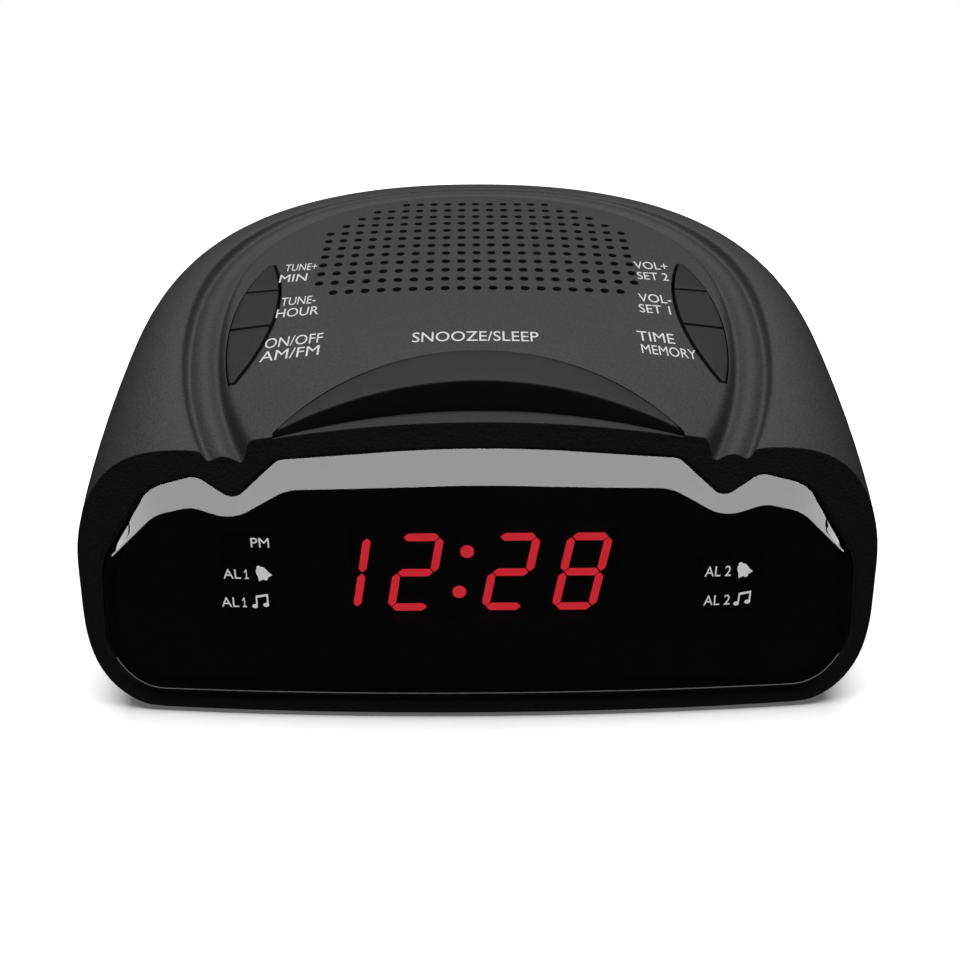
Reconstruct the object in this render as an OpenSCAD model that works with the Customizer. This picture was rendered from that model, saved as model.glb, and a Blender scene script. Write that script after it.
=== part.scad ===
// Bedside clock radio: a domed cabinet with a raised top panel, a glossy display window,
// a crescent snooze bar, six side keys, and the speaker, radio and clock works inside.
// Origin: centre of the footprint, on the surface that it stands on. Front is -Y, up is +Z.

/* [Cabinet] */
// Full width of the cabinet at the level where its skirt starts
body_w = 151; // [130:1:180]
// Depth from the display face to the rear wall, at the widest level
body_d = 125; // [105:1:150]
// Height of the widest level above the surface
waist_z = 30.5; // [24:0.5:36]
// How far the underside tucks in from the widest level
tuck = 12; // [8:0.1:20]
// How far the sides swell below that level
swell = 1.7; // [0:0.1:3]
// Wall thickness of the mouldings
wall = 2.2; // [1.6:0.1:3]
// Height of the underside above the surface
base_z = 1.1; // [0.6:0.1:3]

/* [Display face] */
// Radius of the face's bulge, seen from above
face_r = 800; // [300:10:2000]
// Angle that the face leans back
face_lean = 5; // [0:0.5:15]
// Thickness of the display window
lens_t = 2.2; // [1.5:0.1:3]
// How far the window stands proud of the rim
lens_proud = 0.8; // [0:0.1:1.5]
// Height of a display digit
digit_h = 16; // [10:0.1:25]
// Distance from one digit to the next
digit_pitch = 12.9; // [8:0.1:20]

/* [Top panel] */
// Half width of the raised panel
panel_half = 49.8; // [40:0.2:60]
// Half width to the outer edge of the groove round the panel
groove_half = 57.5; // [45:0.5:66]
// Height of the panel's front edge
panel_front_z = 60.5; // [50:0.5:70]
// Depth of the groove below the shoulder
groove_drop = 1.6; // [0.8:0.1:4]
// Distance between grille holes across the panel
grille_pitch_x = 3.2; // [2.5:0.1:5]
// Distance between grille rows
grille_pitch_y = 3.8; // [2.5:0.1:5]
// Width of a square grille hole, corner to corner
grille_hole = 2.2; // [1.4:0.05:2.8]

/* [Controls] */
// Travel of a side key
key_travel = 0.8; // [0.3:0.1:1.2]
// Gap round a key
key_gap = 0.3; // [0.2:0.05:0.5]
// Travel of the snooze bar
snooze_travel = 1; // [0.3:0.1:1.2]

/* [Speaker and batteries] */
// Outer diameter of the loudspeaker
speaker_d = 50; // [40:1:52]
// Diameter of a backup cell
cell_d = 10.4; // [10:0.1:15]
// Length of a backup cell
cell_l = 44.4; // [40:0.1:51]
// How far the battery door slides
door_travel = 16; // [8:1:18]

/* [Hidden] */

// ---- plan of the cabinet ----
front_y = -61.2;                    // where the face crosses the widest level
plan_y = front_y + 45;              // centre that the plan curves are drawn from
plan_rear = body_d - 45;            // plan centre to the rear wall
plan_front = 92;                    // the plan curve's reach forward, past the face
tiny = 0.01;

function curve_r(a, half, rear, front, n_rear, n_front) =
  let (back = sin(a) > 0, reach = back ? rear : front, n = back ? n_rear : n_front)
  pow(pow(abs(cos(a)) / half, n) + pow(abs(sin(a)) / reach, n), -1 / n);
function body_r(a) = curve_r(a, body_w / 2, plan_rear, plan_front, 2.1, 3.15);
function groove_r(a) = curve_r(a, groove_half, 52, 76, 2.25, 2);
function panel_r(a) = curve_r(a, panel_half, 47.8, 70, 2.2, 2);

// Heights, with d the distance behind the face's widest point
function smooth(k) = k * k * (3 - 2 * k);
function crown(d) = 0.0025 - 0.0017 * smooth(min(max(d / 60, 0), 1));
function panel_z(x, d) = panel_front_z + 0.2492 * d - 0.0009 * d * d - crown(d) * x * x;
function shoulder_z(d) = 54.3 + 0.3 * d - 0.00075 * d * d;
function roll(u) = pow(1 - pow(u, 2.7), 1 / 1.7);
function tuck_in(t) = tuck * (1 - sqrt(1 - pow(t, 4)));
function swell_out(a, t) = swell * 5.38 * pow(t, 1.5) * (1 - t) * pow(cos(a), 2);
function groove_fade(a) = 1 - 0.65 * smooth(min(max((sin(a) - 0.3) / 0.6, 0), 1));

// One ring of the dome along angle a: [radius, height], drawn `in` inside the outer skin
function panel_ring(a, k, in) =
  let (r = (panel_r(a) - 0.6 - in) * k, d = r * sin(a) + plan_y - front_y)
  [r, panel_z(r * cos(a), d) - in];
function groove_ring(a, k, drop, in) =
  let (r = panel_r(a) + (groove_r(a) - panel_r(a)) * k, d = r * sin(a) + plan_y - front_y)
  [r - in, shoulder_z(d) - drop * groove_fade(a) - in];
function shoulder_ring(a, u, drop, in) =
  let (r0 = groove_r(a) - in, r = r0 + (body_r(a) - groove_r(a)) * u,
       d = min(groove_r(a) * sin(a), r * sin(a)) + plan_y - front_y)
  [r, waist_z + (shoulder_z(d) - drop - in - waist_z) * roll(u)];
function skirt_ring(a, t, in) =
  [body_r(a) - tuck_in(t) + swell_out(a, t) - in, waist_z - (waist_z - base_z - in) * t];

function outer_rings(a) = concat(
  [for (k = [0.5, 1]) panel_ring(a, k, 0)],
  [groove_ring(a, 0, -0.1, 0), groove_ring(a, 0.14, groove_drop, 0),
   groove_ring(a, 0.5, groove_drop - 0.3, 0), groove_ring(a, 0.8, groove_drop, 0)],
  [for (u = [0, 0.22, 0.42, 0.6, 0.75, 0.87, 0.95, 1]) shoulder_ring(a, u, 0, 0)],
  [for (t = [0.3, 0.55, 0.75, 0.88, 0.96, 1]) skirt_ring(a, t, 0)]);
function inner_rings(a) = concat(
  [for (k = [0.5, 1]) panel_ring(a, k, wall)],
  [groove_ring(a, 0.02, groove_drop, wall)],
  [for (u = [0, 0.38, 0.68, 0.9, 1]) shoulder_ring(a, u, groove_drop, wall)],
  [for (t = [0.35, 0.65, 0.86, 0.96, 1]) skirt_ring(a, t, wall)]);

// A closed solid from rings of [radius, height] about the plan centre
module dome(rings, top, bottom, steps) {
  n = len(rings[0]);
  points = concat(
    [[0, plan_y, top]],
    [for (i = [0 : steps - 1], k = [0 : n - 1])
      let (a = 360 * i / steps) [rings[i][k][0] * cos(a), plan_y + rings[i][k][0] * sin(a), rings[i][k][1]]],
    [for (i = [0 : steps - 1])
      let (a = 360 * i / steps) [rings[i][n - 1][0] * cos(a), plan_y + rings[i][n - 1][0] * sin(a), bottom]]);
  function at(i, k) = 1 + (i % steps) * n + k;
  function low(i) = 1 + steps * n + (i % steps);
  polyhedron(points, concat(
    [for (i = [0 : steps - 1]) [0, at(i + 1, 0), at(i, 0)]],
    [for (i = [0 : steps - 1], k = [0 : n - 2]) [at(i, k), at(i + 1, k), at(i, k + 1)]],
    [for (i = [0 : steps - 1], k = [0 : n - 2]) [at(i + 1, k), at(i + 1, k + 1), at(i, k + 1)]],
    [for (i = [0 : steps - 1]) [at(i, n - 1), at(i + 1, n - 1), low(i)]],
    [for (i = [0 : steps - 1]) [at(i + 1, n - 1), low(i + 1), low(i)]],
    [[for (i = [0 : steps - 1]) low(i)]]));
}
dome_steps = 40;
module outer_dome() {
  dome([for (i = [0 : dome_steps - 1]) outer_rings(360 * i / dome_steps)],
    panel_z(0, plan_y - front_y), base_z - 0.001, dome_steps);
}
module inner_dome() {
  dome([for (i = [0 : dome_steps - 1]) inner_rings(360 * i / dome_steps)],
    panel_z(0, plan_y - front_y) - wall, base_z - 1, dome_steps);
}

// ---- the display face's own frame: y = 0 on the face at the middle, z = 0 at the widest level ----
module face_frame() {
  translate([0, front_y, waist_z]) rotate([-face_lean, 0, 0]) children();
}
// Everything behind the bulged face, moved `back` behind it
module behind_face(back) {
  face_frame() translate([0, face_r + back, 0])
    cylinder(r = face_r, h = 400, center = true, $fn = 240);
}

// Rounded corners for an outline given as [x, y, radius]
function corner(p, q, s) =
  let (u = [p[0] - q[0], p[1] - q[1]], v = [s[0] - q[0], s[1] - q[1]],
       un = u / norm(u), vn = v / norm(v), half = acos(un * vn) / 2,
       reach = q[2] / tan(half), mid = (un + vn) / norm(un + vn),
       c = [q[0], q[1]] + mid * q[2] / sin(half),
       p0 = [q[0], q[1]] + un * reach - c, p1 = [q[0], q[1]] + vn * reach - c,
       turn = sign(p0[0] * p1[1] - p0[1] * p1[0]) * (180 - 2 * half),
       n = max(2, ceil(abs(turn) / 22)))
  [for (i = [0 : n]) let (a = turn * i / n)
    c + [p0[0] * cos(a) - p0[1] * sin(a), p0[0] * sin(a) + p0[1] * cos(a)]];
function rounded(points) =
  [for (i = [0 : len(points) - 1])
    each corner(points[(i + len(points) - 1) % len(points)], points[i], points[(i + 1) % len(points)])];

// Window outline on the face: [x, height over the surface, corner radius], right half from the top
lens_top_z = 56.6;
lens_half = [[34.8, 53.8, 3], [43.4, 45.9, 2.4], [49.6, 50.5, 3], [58.5, 47.9, 9],
  [68.9, 33, 14], [71, 13.9, 12.6], [65.2, 5.2, 8.6]];
module lens_outline(in) {
  left = [for (i = [len(lens_half) - 1 : -1 : 0]) [-lens_half[i][0], lens_half[i][1], lens_half[i][2]]];
  points = rounded(concat([[0, lens_top_z + 0.2, 200]], lens_half, left));
  offset(delta = -in) polygon([for (p = points) [p[0], p[1] - waist_z]]);
}
// The outline as a block through the face, from `near` to `far` behind it
module face_block(near, far, in) {
  face_frame() translate([0, far, 0]) rotate([90, 0, 0]) linear_extrude(far - near) lens_outline(in);
}

// ---- controls: places on the panel ----
snooze_rear_r = 42.5;
snooze_rear_y = front_y + 22.6 - snooze_rear_r;
snooze_front_r = 68;
snooze_front_y = front_y + 13.6 - snooze_front_r;
snooze_half = 35;
snooze_low = 54;
snooze_bar_low = 55.2;
module crescent(grow) {
  intersection() {
    difference() {
      translate([0, snooze_rear_y]) circle(r = snooze_rear_r + grow, $fn = 72);
      translate([0, snooze_front_y]) circle(r = snooze_front_r - grow, $fn = 72);
    }
    translate([-snooze_half - grow, front_y]) square([2 * (snooze_half + grow), 40]);
  }
}
// A long cylinder lying fore and aft, its top line at height z over the face and rising by `slope`
module crowned_block(z, slope, r) {
  translate([0, front_y, z]) rotate([slope, 0, 0]) translate([0, 0, -r]) rotate([-90, 0, 0])
    cylinder(r = r, h = 300, center = true, $fn = 240);
}
snooze_crown_r = 218;
snooze_slope = 13.2;
ledge_crown_r = 200;
ledge_slope = -16;
ledge_z = panel_front_z + 1.4;

// Leaf of three keys: two arcs meeting in points, [x, y] of the points and each arc's swell
leaf_rear = [42.9, front_y + 58.7];
leaf_front = [45.2, front_y + 18.1];
leaf_in = 4.5;
leaf_out = 3.8;
leaf_cuts = [front_y + 35, front_y + 47];
key_half_gap = 0.3;
function arc_r(swell) = (pow(norm(leaf_rear - leaf_front) / 2, 2) + swell * swell) / (2 * swell);
module leaf(grow) {
  mid = (leaf_rear + leaf_front) / 2;
  along = (leaf_rear - leaf_front) / norm(leaf_rear - leaf_front);
  side = [along[1], -along[0]];
  intersection() {
    translate(mid + side * (leaf_out - arc_r(leaf_out))) circle(r = arc_r(leaf_out) + grow, $fn = 90);
    translate(mid - side * (leaf_in - arc_r(leaf_in))) circle(r = arc_r(leaf_in) + grow, $fn = 90);
    translate([20, leaf_front[1] + 1.2 - grow]) square([40, leaf_rear[1] - leaf_front[1] - 2.4 + 2 * grow]);
  }
}
// Each key: [centre on the right-hand panel, low y of its cap, high y of its cap]
keys = [[[43.2, leaf_rear[1] - 6.2], leaf_cuts[1] + key_half_gap, leaf_rear[1] + 5],
  [[43.6, leaf_cuts[0] + 6], leaf_cuts[0] + key_half_gap, leaf_cuts[1] - key_half_gap],
  [[44.0, leaf_front[1] + 9.8], leaf_front[1] - 5, leaf_cuts[0] - key_half_gap]];
key_proud = 0.3;
key_cap_t = 3.4;
key_lip = 0.7;
key_post_r = 1.3;
key_board_z = 46;
pcb_t = 1.6;
switch_w = 6;
switch_h = 3.5;
stem_r = 1.7;
stem_rise = 1.4;
stem_depth = 1.6;
switch_top = key_board_z + pcb_t + switch_h;
slot_gap = 0.06;

function slope_y(x, d) = atan((panel_z(x, d + 1) - panel_z(x, d - 1)) / 2);
function slope_x(x, d) = atan((panel_z(x + 1, d) - panel_z(x - 1, d)) / 2);
// A thick slab whose upper face lies on the panel at p, moved up by `up`
module panel_slab(p, up, t) {
  d = p[1] - front_y;
  translate([p[0], p[1], panel_z(p[0], d) + up]) rotate([slope_y(p[0], d), -slope_x(p[0], d), 0])
    translate([-20, -20, -t]) cube([40, 40, t]);
}
module key(i) {
  p = keys[i][0];
  top = panel_z(p[0], p[1] - front_y);
  intersection() {
    translate([0, keys[i][1], 0]) linear_extrude(100)
      translate([0, -keys[i][1]]) intersection() {
        leaf(-key_gap / 2);
        translate([20, keys[i][1]]) square([40, keys[i][2] - keys[i][1]]);
      }
    panel_slab(p, key_proud, key_cap_t);
  }
  translate([p[0], p[1], switch_top + stem_rise])
    cylinder(r = key_post_r, h = top - switch_top - stem_rise - 1, $fn = 32);
}
module switch_body(p, z) {
  difference() {
    translate([p[0] - switch_w / 2, p[1] - switch_w / 2, z]) cube([switch_w, switch_w, switch_h]);
    translate([p[0], p[1], z + switch_h - stem_depth])
      cylinder(r = stem_r + slot_gap, h = stem_depth + 1, $fn = 48);
  }
}
module stem(p, z, travel) {
  foot = switch_h - stem_depth + travel + 0.1;
  translate([p[0], p[1], z + foot]) cylinder(r = stem_r, h = switch_h + stem_rise - foot, $fn = 48);
}

// ---- screws ----
screw_r = 1.1;
screw_head_r = 2.3;
screw_head_h = 1.5;
pilot_r = 1.16;
pilot_hex_r = pilot_r / cos(30);
module screw_up(p, z, length) {
  translate([p[0], p[1], z]) cylinder(r = screw_head_r, h = screw_head_h, $fn = 32);
  translate([p[0], p[1], z + screw_head_h - tiny]) cylinder(r = screw_r, h = length, $fn = 24);
}
case_bosses = [[-54, -42], [54, -42], [-44, 14], [44, 14]];
case_boss_r = 3.4;
case_boss_low = 12;
board_boss_r = 2.6;
case_screw_l = 14;
case_sink = 7;
board_screw_l = 6;
key_bosses = [[33.5, front_y + 24], [33.5, front_y + 61]];
snooze_bosses = [[-14, front_y + 29], [14, front_y + 29]];
snooze_board_z = 44;

// ---- cabinet mouldings ----
grille_rows = [9, 10, 10, 10, 10, 10, 10, 10, 9, 8, 7, 5];
grille_first = front_y + 45;
module grille_holes() {
  for (row = [0 : len(grille_rows) - 1], i = [-grille_rows[row] : grille_rows[row]])
    translate([i * grille_pitch_x, grille_first + row * grille_pitch_y, 50])
      rotate([0, 0, 45]) cylinder(d = grille_hole, h = 40, $fn = 4);
}
jack_at = [-12, 27];
jack_seat_y = front_y + body_d - 2.8;
jack_seat_r = 6.9;
jack_hole_r = 5.6;
jack_boss_t = 2.5;
speaker_at = [0, front_y + 63.5];
speaker_tilt = 7.4;
speaker_z = panel_z(0, speaker_at[1] - front_y) - wall - 1.3;
module speaker_place() {
  translate([speaker_at[0], speaker_at[1], speaker_z]) rotate([speaker_tilt, 0, 0]) children();
}
speaker_ear_at = 20;

// A moulded screw boss, a little wider at its root than at its foot
module boss(r, h) {
  hull() {
    cylinder(r = r, h = 1, $fn = 10);
    translate([0, 0, h - 1]) cylinder(r = r + 0.5, h = 1, $fn = 10);
  }
}

module top_shell() {
  color([0.16, 0.16, 0.17]) difference() {
    union() {
      difference() {
        intersection() {
          outer_dome();
          behind_face(0);
        }
        intersection() {
          inner_dome();
          behind_face(lens_t + 1.5);
        }
      }
      // solid shelf in front of the snooze bar
      intersection() {
        outer_dome();
        behind_face(1);
        translate([-snooze_half - 3, front_y - 5, snooze_low]) cube([2 * snooze_half + 6, 18, 20]);
      }
      intersection() {
        outer_dome();
        union() {
          for (p = case_bosses)
            translate([p[0], p[1], case_boss_low]) boss(case_boss_r, 60);
          for (p = key_bosses, s = [-1, 1])
            translate([s * p[0], p[1], key_board_z + pcb_t]) boss(board_boss_r, 30);
          for (p = snooze_bosses)
            translate([p[0], p[1], snooze_board_z + pcb_t]) boss(board_boss_r, 30);
          speaker_place() for (x = [-1, 1], y = [-1, 1])
            translate([x * speaker_ear_at, y * speaker_ear_at, 0]) boss(board_boss_r, 12);
          translate([jack_at[0], jack_seat_y - jack_boss_t, jack_at[1]]) rotate([-90, 0, 0])
            cylinder(r = jack_seat_r + 1.2, h = 20, $fn = 24);
        }
      }
    }
    // room in front of the snooze bar, down to the shelf
    difference() {
      translate([0, 0, snooze_low]) linear_extrude(30) intersection() {
        translate([0, snooze_rear_y]) circle(r = snooze_rear_r + key_gap, $fn = 72);
        translate([-snooze_half - key_gap, front_y - 5]) square([2 * (snooze_half + key_gap), 40]);
      }
      crowned_block(ledge_z, ledge_slope, ledge_crown_r);
    }
    translate([0, 0, snooze_low - 10]) linear_extrude(40) crescent(key_gap);
    for (s = [0, 1]) mirror([s, 0, 0]) translate([0, 0, 50]) linear_extrude(40) leaf(key_gap / 2);
    grille_holes();
    difference() {
      face_block(-6, 8, -0.15);
      behind_face(lens_t);
    }
    face_block(-6, 12, 2.6);
    translate([jack_at[0], jack_seat_y, jack_at[1]]) rotate([-90, 0, 0])
      cylinder(r = jack_seat_r, h = 20, $fn = 24);
    translate([jack_at[0], 40, jack_at[1]]) rotate([-90, 0, 0]) cylinder(r = jack_hole_r, h = 40, $fn = 24);
    for (p = case_bosses)
      translate([p[0], p[1], case_boss_low - 1]) cylinder(r = pilot_hex_r, h = case_screw_l, $fn = 6);
    for (p = key_bosses, s = [-1, 1])
      translate([s * p[0], p[1], key_board_z]) cylinder(r = pilot_hex_r, h = board_screw_l + 1, $fn = 6);
    for (p = snooze_bosses)
      translate([p[0], p[1], snooze_board_z]) cylinder(r = pilot_hex_r, h = board_screw_l + 1, $fn = 6);
    speaker_place() for (x = [-1, 1], y = [-1, 1])
      translate([x * speaker_ear_at, y * speaker_ear_at, -1]) cylinder(r = pilot_hex_r, h = 2.9, $fn = 6);
  }
}

// ---- base moulding ----
base_t = 3;
base_top = base_z + base_t;
base_gap = 0.3;
foot_r = 5;
foot_recess = 0.8;
feet = [[-42, -46], [42, -46], [-33, 27], [33, 27]];
bay_y = 12;
bay_half = [25.2, 11.4];
well_wall = 1.6;
well_top = 15.8;
vent_x = 38;
vent_y = 2;
vent_l = 16;
vent_w = 1.8;
vent_pitch = 3.6;
vent_count = 5;
door_over = 1.2;
door_recess_z = base_z + 1.6;
door_t = 1.2;
door_low = base_z + 0.2;
rail_w = 0.8;
board_z = 8;
board_half = [44, 22];
board_y = -30;
board_posts = [for (x = [-39, 39], y = [board_y - 18, board_y + 18]) [x, y]];
module base_plan() {
  polygon([for (i = [0 : dome_steps - 1])
    let (a = 360 * i / dome_steps, r = body_r(a) - tuck - wall - base_gap)
    [r * cos(a), plan_y + r * sin(a)]]);
}
module base_shell() {
  color([0.12, 0.12, 0.13]) difference() {
    union() {
      intersection() {
        translate([0, 0, base_z]) linear_extrude(base_t) base_plan();
        behind_face(lens_t + 1.5 + base_gap);
      }
      for (p = case_bosses)
        translate([p[0], p[1], base_z + 1]) cylinder(r = case_boss_r, h = case_boss_low - base_z - 1, $fn = 48);
      for (p = board_posts)
        translate([p[0], p[1], base_z + 1]) cylinder(r = board_boss_r, h = board_z - base_z - 1, $fn = 32);
      translate([-bay_half[0] - well_wall, bay_y - bay_half[1] - well_wall, base_top - tiny])
        cube([2 * (bay_half[0] + well_wall), 2 * (bay_half[1] + well_wall), well_top - base_top]);
    }
    translate([-bay_half[0], bay_y - bay_half[1], base_z - 1])
      cube([2 * bay_half[0], 2 * bay_half[1], well_top - well_wall - base_z + 1]);
    translate([-bay_half[0] - door_over, bay_y - bay_half[1] - door_over, base_z - 1])
      cube([2 * (bay_half[0] + door_over), 2 * (bay_half[1] + door_over) + door_travel + 0.6,
        door_recess_z - base_z + 1]);
    // rail slots for the door's side tongues
    translate([-bay_half[0] - door_over - rail_w - 0.2, bay_y - bay_half[1] - door_over, door_recess_z - 0.7])
      cube([2 * (bay_half[0] + door_over + rail_w + 0.2), 2 * (bay_half[1] + door_over) + door_travel + 0.6, 0.7]);
    for (p = feet)
      translate([p[0], p[1], base_z - 1]) cylinder(r = foot_r + 0.1, h = foot_recess + 1, $fn = 64);
    for (p = case_bosses) {
      translate([p[0], p[1], base_z - 1]) cylinder(r = screw_r + 0.2, h = 30, $fn = 32);
      translate([p[0], p[1], base_z - 1]) cylinder(r = screw_head_r + 0.3, h = case_sink + 1, $fn = 32);
    }
    for (p = board_posts)
      translate([p[0], p[1], base_z + 1.5]) cylinder(r = pilot_r, h = 10, $fn = 24);
    // air slots on each side
    for (s = [-1, 1], i = [0 : vent_count - 1])
      translate([s * vent_x - vent_l / 2, vent_y - i * vent_pitch, base_z - 1])
        cube([vent_l, vent_w, base_t + 2]);
  }
}
module foot(i) {
  color([0.08, 0.08, 0.08]) translate([feet[i][0], feet[i][1], 0])
    cylinder(r = foot_r, h = base_z + foot_recess, $fn = 64);
}
module battery_door() {
  half = bay_half[0] + door_over - 0.25;
  long = 2 * (bay_half[1] + door_over) - 0.4;
  start = bay_y - bay_half[1] - door_over + 0.2;
  color([0.12, 0.12, 0.13]) difference() {
    union() {
      translate([-half, start, door_low]) cube([2 * half, long, door_t]);
      translate([-half - rail_w, start, door_recess_z - 0.6]) cube([2 * (half + rail_w), long, 0.45]);
    }
    // finger ridges
    for (i = [0 : 4]) translate([-9, start + 3 + i * 1.8, door_low - 1]) cube([18, 0.9, 1.4]);
  }
}
cell_z = door_recess_z + 0.6 + cell_d / 2;
cell_offset = cell_d / 2 + 0.3;
cell_body_l = cell_l - 1.4;
module cell(side) {
  translate([-side * 0.6, bay_y + side * cell_offset, cell_z]) rotate([0, side * 90, 0]) {
    color([0.15, 0.3, 0.55]) translate([0, 0, -cell_l / 2]) cylinder(d = cell_d, h = cell_body_l, $fn = 64);
    color([0.8, 0.8, 0.8]) translate([0, 0, cell_l / 2 - 1.5]) cylinder(r = 1.9, h = 1.5, $fn = 32);
  }
}
contact_t = 0.4;
module cell_contacts() {
  color([0.8, 0.8, 0.78]) for (side = [-1, 1], end = [-1, 1])
    translate([end * (bay_half[0] - contact_t / 2 - 0.05), bay_y + side * cell_offset, cell_z])
      cube([contact_t, 8, 8], center = true);
}
spring_wire = 0.35;
spring_r = 3.2;
spring_taper = 0.3;
spring_tie = 0.5;
module cell_springs() {
  x0 = bay_half[0] - contact_t - 0.05;
  room = x0 - cell_l / 2 - 0.6;
  color([0.8, 0.8, 0.78]) for (side = [-1, 1])
    translate([-side * x0, bay_y + side * cell_offset, cell_z]) rotate([0, side * 90, 0]) {
      for (k = [0 : 2]) translate([0, 0, k * (room - 2 * spring_wire) / 2]) difference() {
        cylinder(r = spring_r - k * spring_taper + spring_wire, h = 2 * spring_wire, $fn = 48);
        translate([0, 0, -1]) cylinder(r = spring_r - k * spring_taper - spring_wire, h = 3, $fn = 48);
      }
      translate([spring_r - spring_taper - spring_tie / 2, -spring_tie / 2, tiny])
        cube([spring_tie, spring_tie, room - 2 * tiny]);
    }
}

// ---- display ----
module display_window() {
  color([0.02, 0.02, 0.02]) difference() {
    union() {
      intersection() {
        face_block(-6, 8, 0);
        behind_face(0.4);
      }
      intersection() {
        face_block(-6, 8, 1.6);
        behind_face(-lens_proud);
      }
    }
    behind_face(lens_t);
  }
}
// Centre of the lit area, in the face's frame
digits_z = 31 - waist_z;
module_half = [25.4, 9.6];
module_front = 3.1;
module_depth = 8;
display_board_y = module_front + module_depth;
left_box = [[-42.3, 31.4 - waist_z], [6.4, 8.6]];
right_box = [[45.8, 28.7 - waist_z], [5.9, 6.4]];
indicators = [[-39, 37.6], [-42, 31.4], [-42, 25.2], [45.5, 31.4], [45.5, 25.2]];
mask_half = [56, 16];
mask_z = -2.2;
mask_y = 5.2;
mask_t = 1.2;
mask_posts = [for (x = [-52, 52], z = [-15, 10]) [x, z]];
module face_box(c, half, near, far) {
  translate([c[0] - half[0], near, c[1] - half[1]]) cube([2 * half[0], far - near, 2 * half[1]]);
}
module face_rod(p, r, near, far, faces) {
  translate([p[0], near, p[1]]) rotate([-90, 0, 0]) cylinder(r = r, h = far - near, $fn = faces);
}
module light_mask() {
  color([0.03, 0.03, 0.03]) face_frame() difference() {
    union() {
      face_box([0, mask_z], mask_half, mask_y, mask_y + mask_t);
      for (b = [left_box, right_box])
        face_box(b[0], b[1] + [1, 1], 4.3, display_board_y - 2);
      face_box([0, digits_z], module_half + [1.2, 1.2], mask_y, mask_y + 3);
      for (p = mask_posts) face_rod(p, board_boss_r, mask_y, display_board_y, 32);
    }
    for (b = [left_box, right_box]) face_box(b[0], b[1], 3, display_board_y);
    face_box([0, digits_z], module_half + [0.15, 0.15], 3, display_board_y);
    for (p = mask_posts) face_rod(p, pilot_r, mask_y + 1, display_board_y + 1, 24);
  }
}
module led_module() {
  color([0.08, 0.08, 0.08]) face_frame()
    face_box([0, digits_z], module_half, module_front, display_board_y);
}
segment_t = 0.2;
segment_w = 1.45;
digit_w = 8.2;
slant = 10;
// A segment between two points, as a six-sided bar leaning with the digit
module segment(p, q) {
  d = (q - p) / norm(q - p);
  n = [-d[1], d[0]];
  h = segment_w / 2;
  corners = [p + d * 0.2, p + d * (h + 0.2) + n * h, q - d * (h + 0.2) + n * h, q - d * 0.2,
    q - d * (h + 0.2) - n * h, p + d * (h + 0.2) - n * h];
  translate([0, module_front, digits_z]) rotate([90, 0, 0]) linear_extrude(segment_t)
    polygon([for (c = corners) [c[0] + c[1] * tan(slant), c[1]]]);
}
digit_x = [-24.7, -11.6, 5.8, 5.8 + digit_pitch + 0.1];
// Segments in the order a to g, for the digit centred on x
module digit_segments(x, wanted) {
  hx = (digit_w - segment_w) / 2;
  hz = (digit_h - segment_w) / 2;
  ends = [[[-hx, hz], [hx, hz]], [[hx, hz], [hx, 0]], [[hx, 0], [hx, -hz]], [[hx, -hz], [-hx, -hz]],
    [[-hx, -hz], [-hx, 0]], [[-hx, 0], [-hx, hz]], [[-hx, 0], [hx, 0]]];
  for (i = wanted) segment([x, 0] + ends[i][0], [x, 0] + ends[i][1]);
}
module lit_segments() {
  color([0.85, 0.1, 0.12]) face_frame() {
    digit_segments(digit_x[0], [1, 2]);
    for (x = [digit_x[1], digit_x[2]]) digit_segments(x, [0, 1, 3, 4, 6]);
    digit_segments(digit_x[3], [0, 1, 2, 3, 4, 5, 6]);
    for (z = [-4.1, 4.3])
      face_rod([-2.9 + z * tan(slant), digits_z + z], 1.25, module_front - segment_t, module_front, 48);
  }
}
module dark_segments() {
  color([0.12, 0.03, 0.03]) face_frame()
    for (x = [digit_x[1], digit_x[2]]) digit_segments(x, [2, 5]);
}
module indicator_leds() {
  color([0.8, 0.8, 0.8]) face_frame() for (p = indicators)
    face_rod([p[0], p[1] - waist_z], 1.5, display_board_y - 4.5, display_board_y, 32);
}
module display_board() {
  color([0.1, 0.3, 0.15]) face_frame() difference() {
    face_box([0, mask_z], mask_half, display_board_y, display_board_y + pcb_t);
    for (p = mask_posts) face_rod(p, screw_r + 0.1, display_board_y - 1, display_board_y + pcb_t + 1, 24);
  }
}

// ---- boards and works ----
module board_holes(points, z) {
  for (p = points) translate([p[0], p[1], z - 1]) cylinder(r = screw_r + 0.1, h = pcb_t + 2, $fn = 24);
}
module main_board() {
  color([0.1, 0.3, 0.15]) difference() {
    translate([-board_half[0], board_y - board_half[1], board_z]) cube([2 * board_half[0], 2 * board_half[1], pcb_t]);
    board_holes(board_posts, board_z);
  }
}
key_board_x = [30.5, 49.5];
key_board_y = [front_y + 19.5, front_y + 65];
module key_board() {
  difference() {
    translate([key_board_x[0], key_board_y[0], key_board_z])
      cube([key_board_x[1] - key_board_x[0], key_board_y[1] - key_board_y[0], pcb_t]);
    board_holes(key_bosses, key_board_z);
  }
}
module key_board_left() {
  color([0.1, 0.3, 0.15]) mirror([1, 0, 0]) key_board();
}
module key_board_right() {
  color([0.1, 0.3, 0.15]) key_board();
}
snooze_switch = [0, front_y + 19];
module snooze_board() {
  color([0.1, 0.3, 0.15]) difference() {
    translate([-18, front_y + 15, snooze_board_z]) cube([36, 18, pcb_t]);
    board_holes(snooze_bosses, snooze_board_z);
  }
}
snooze_stem_top = snooze_board_z + pcb_t + switch_h + stem_rise;
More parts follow.
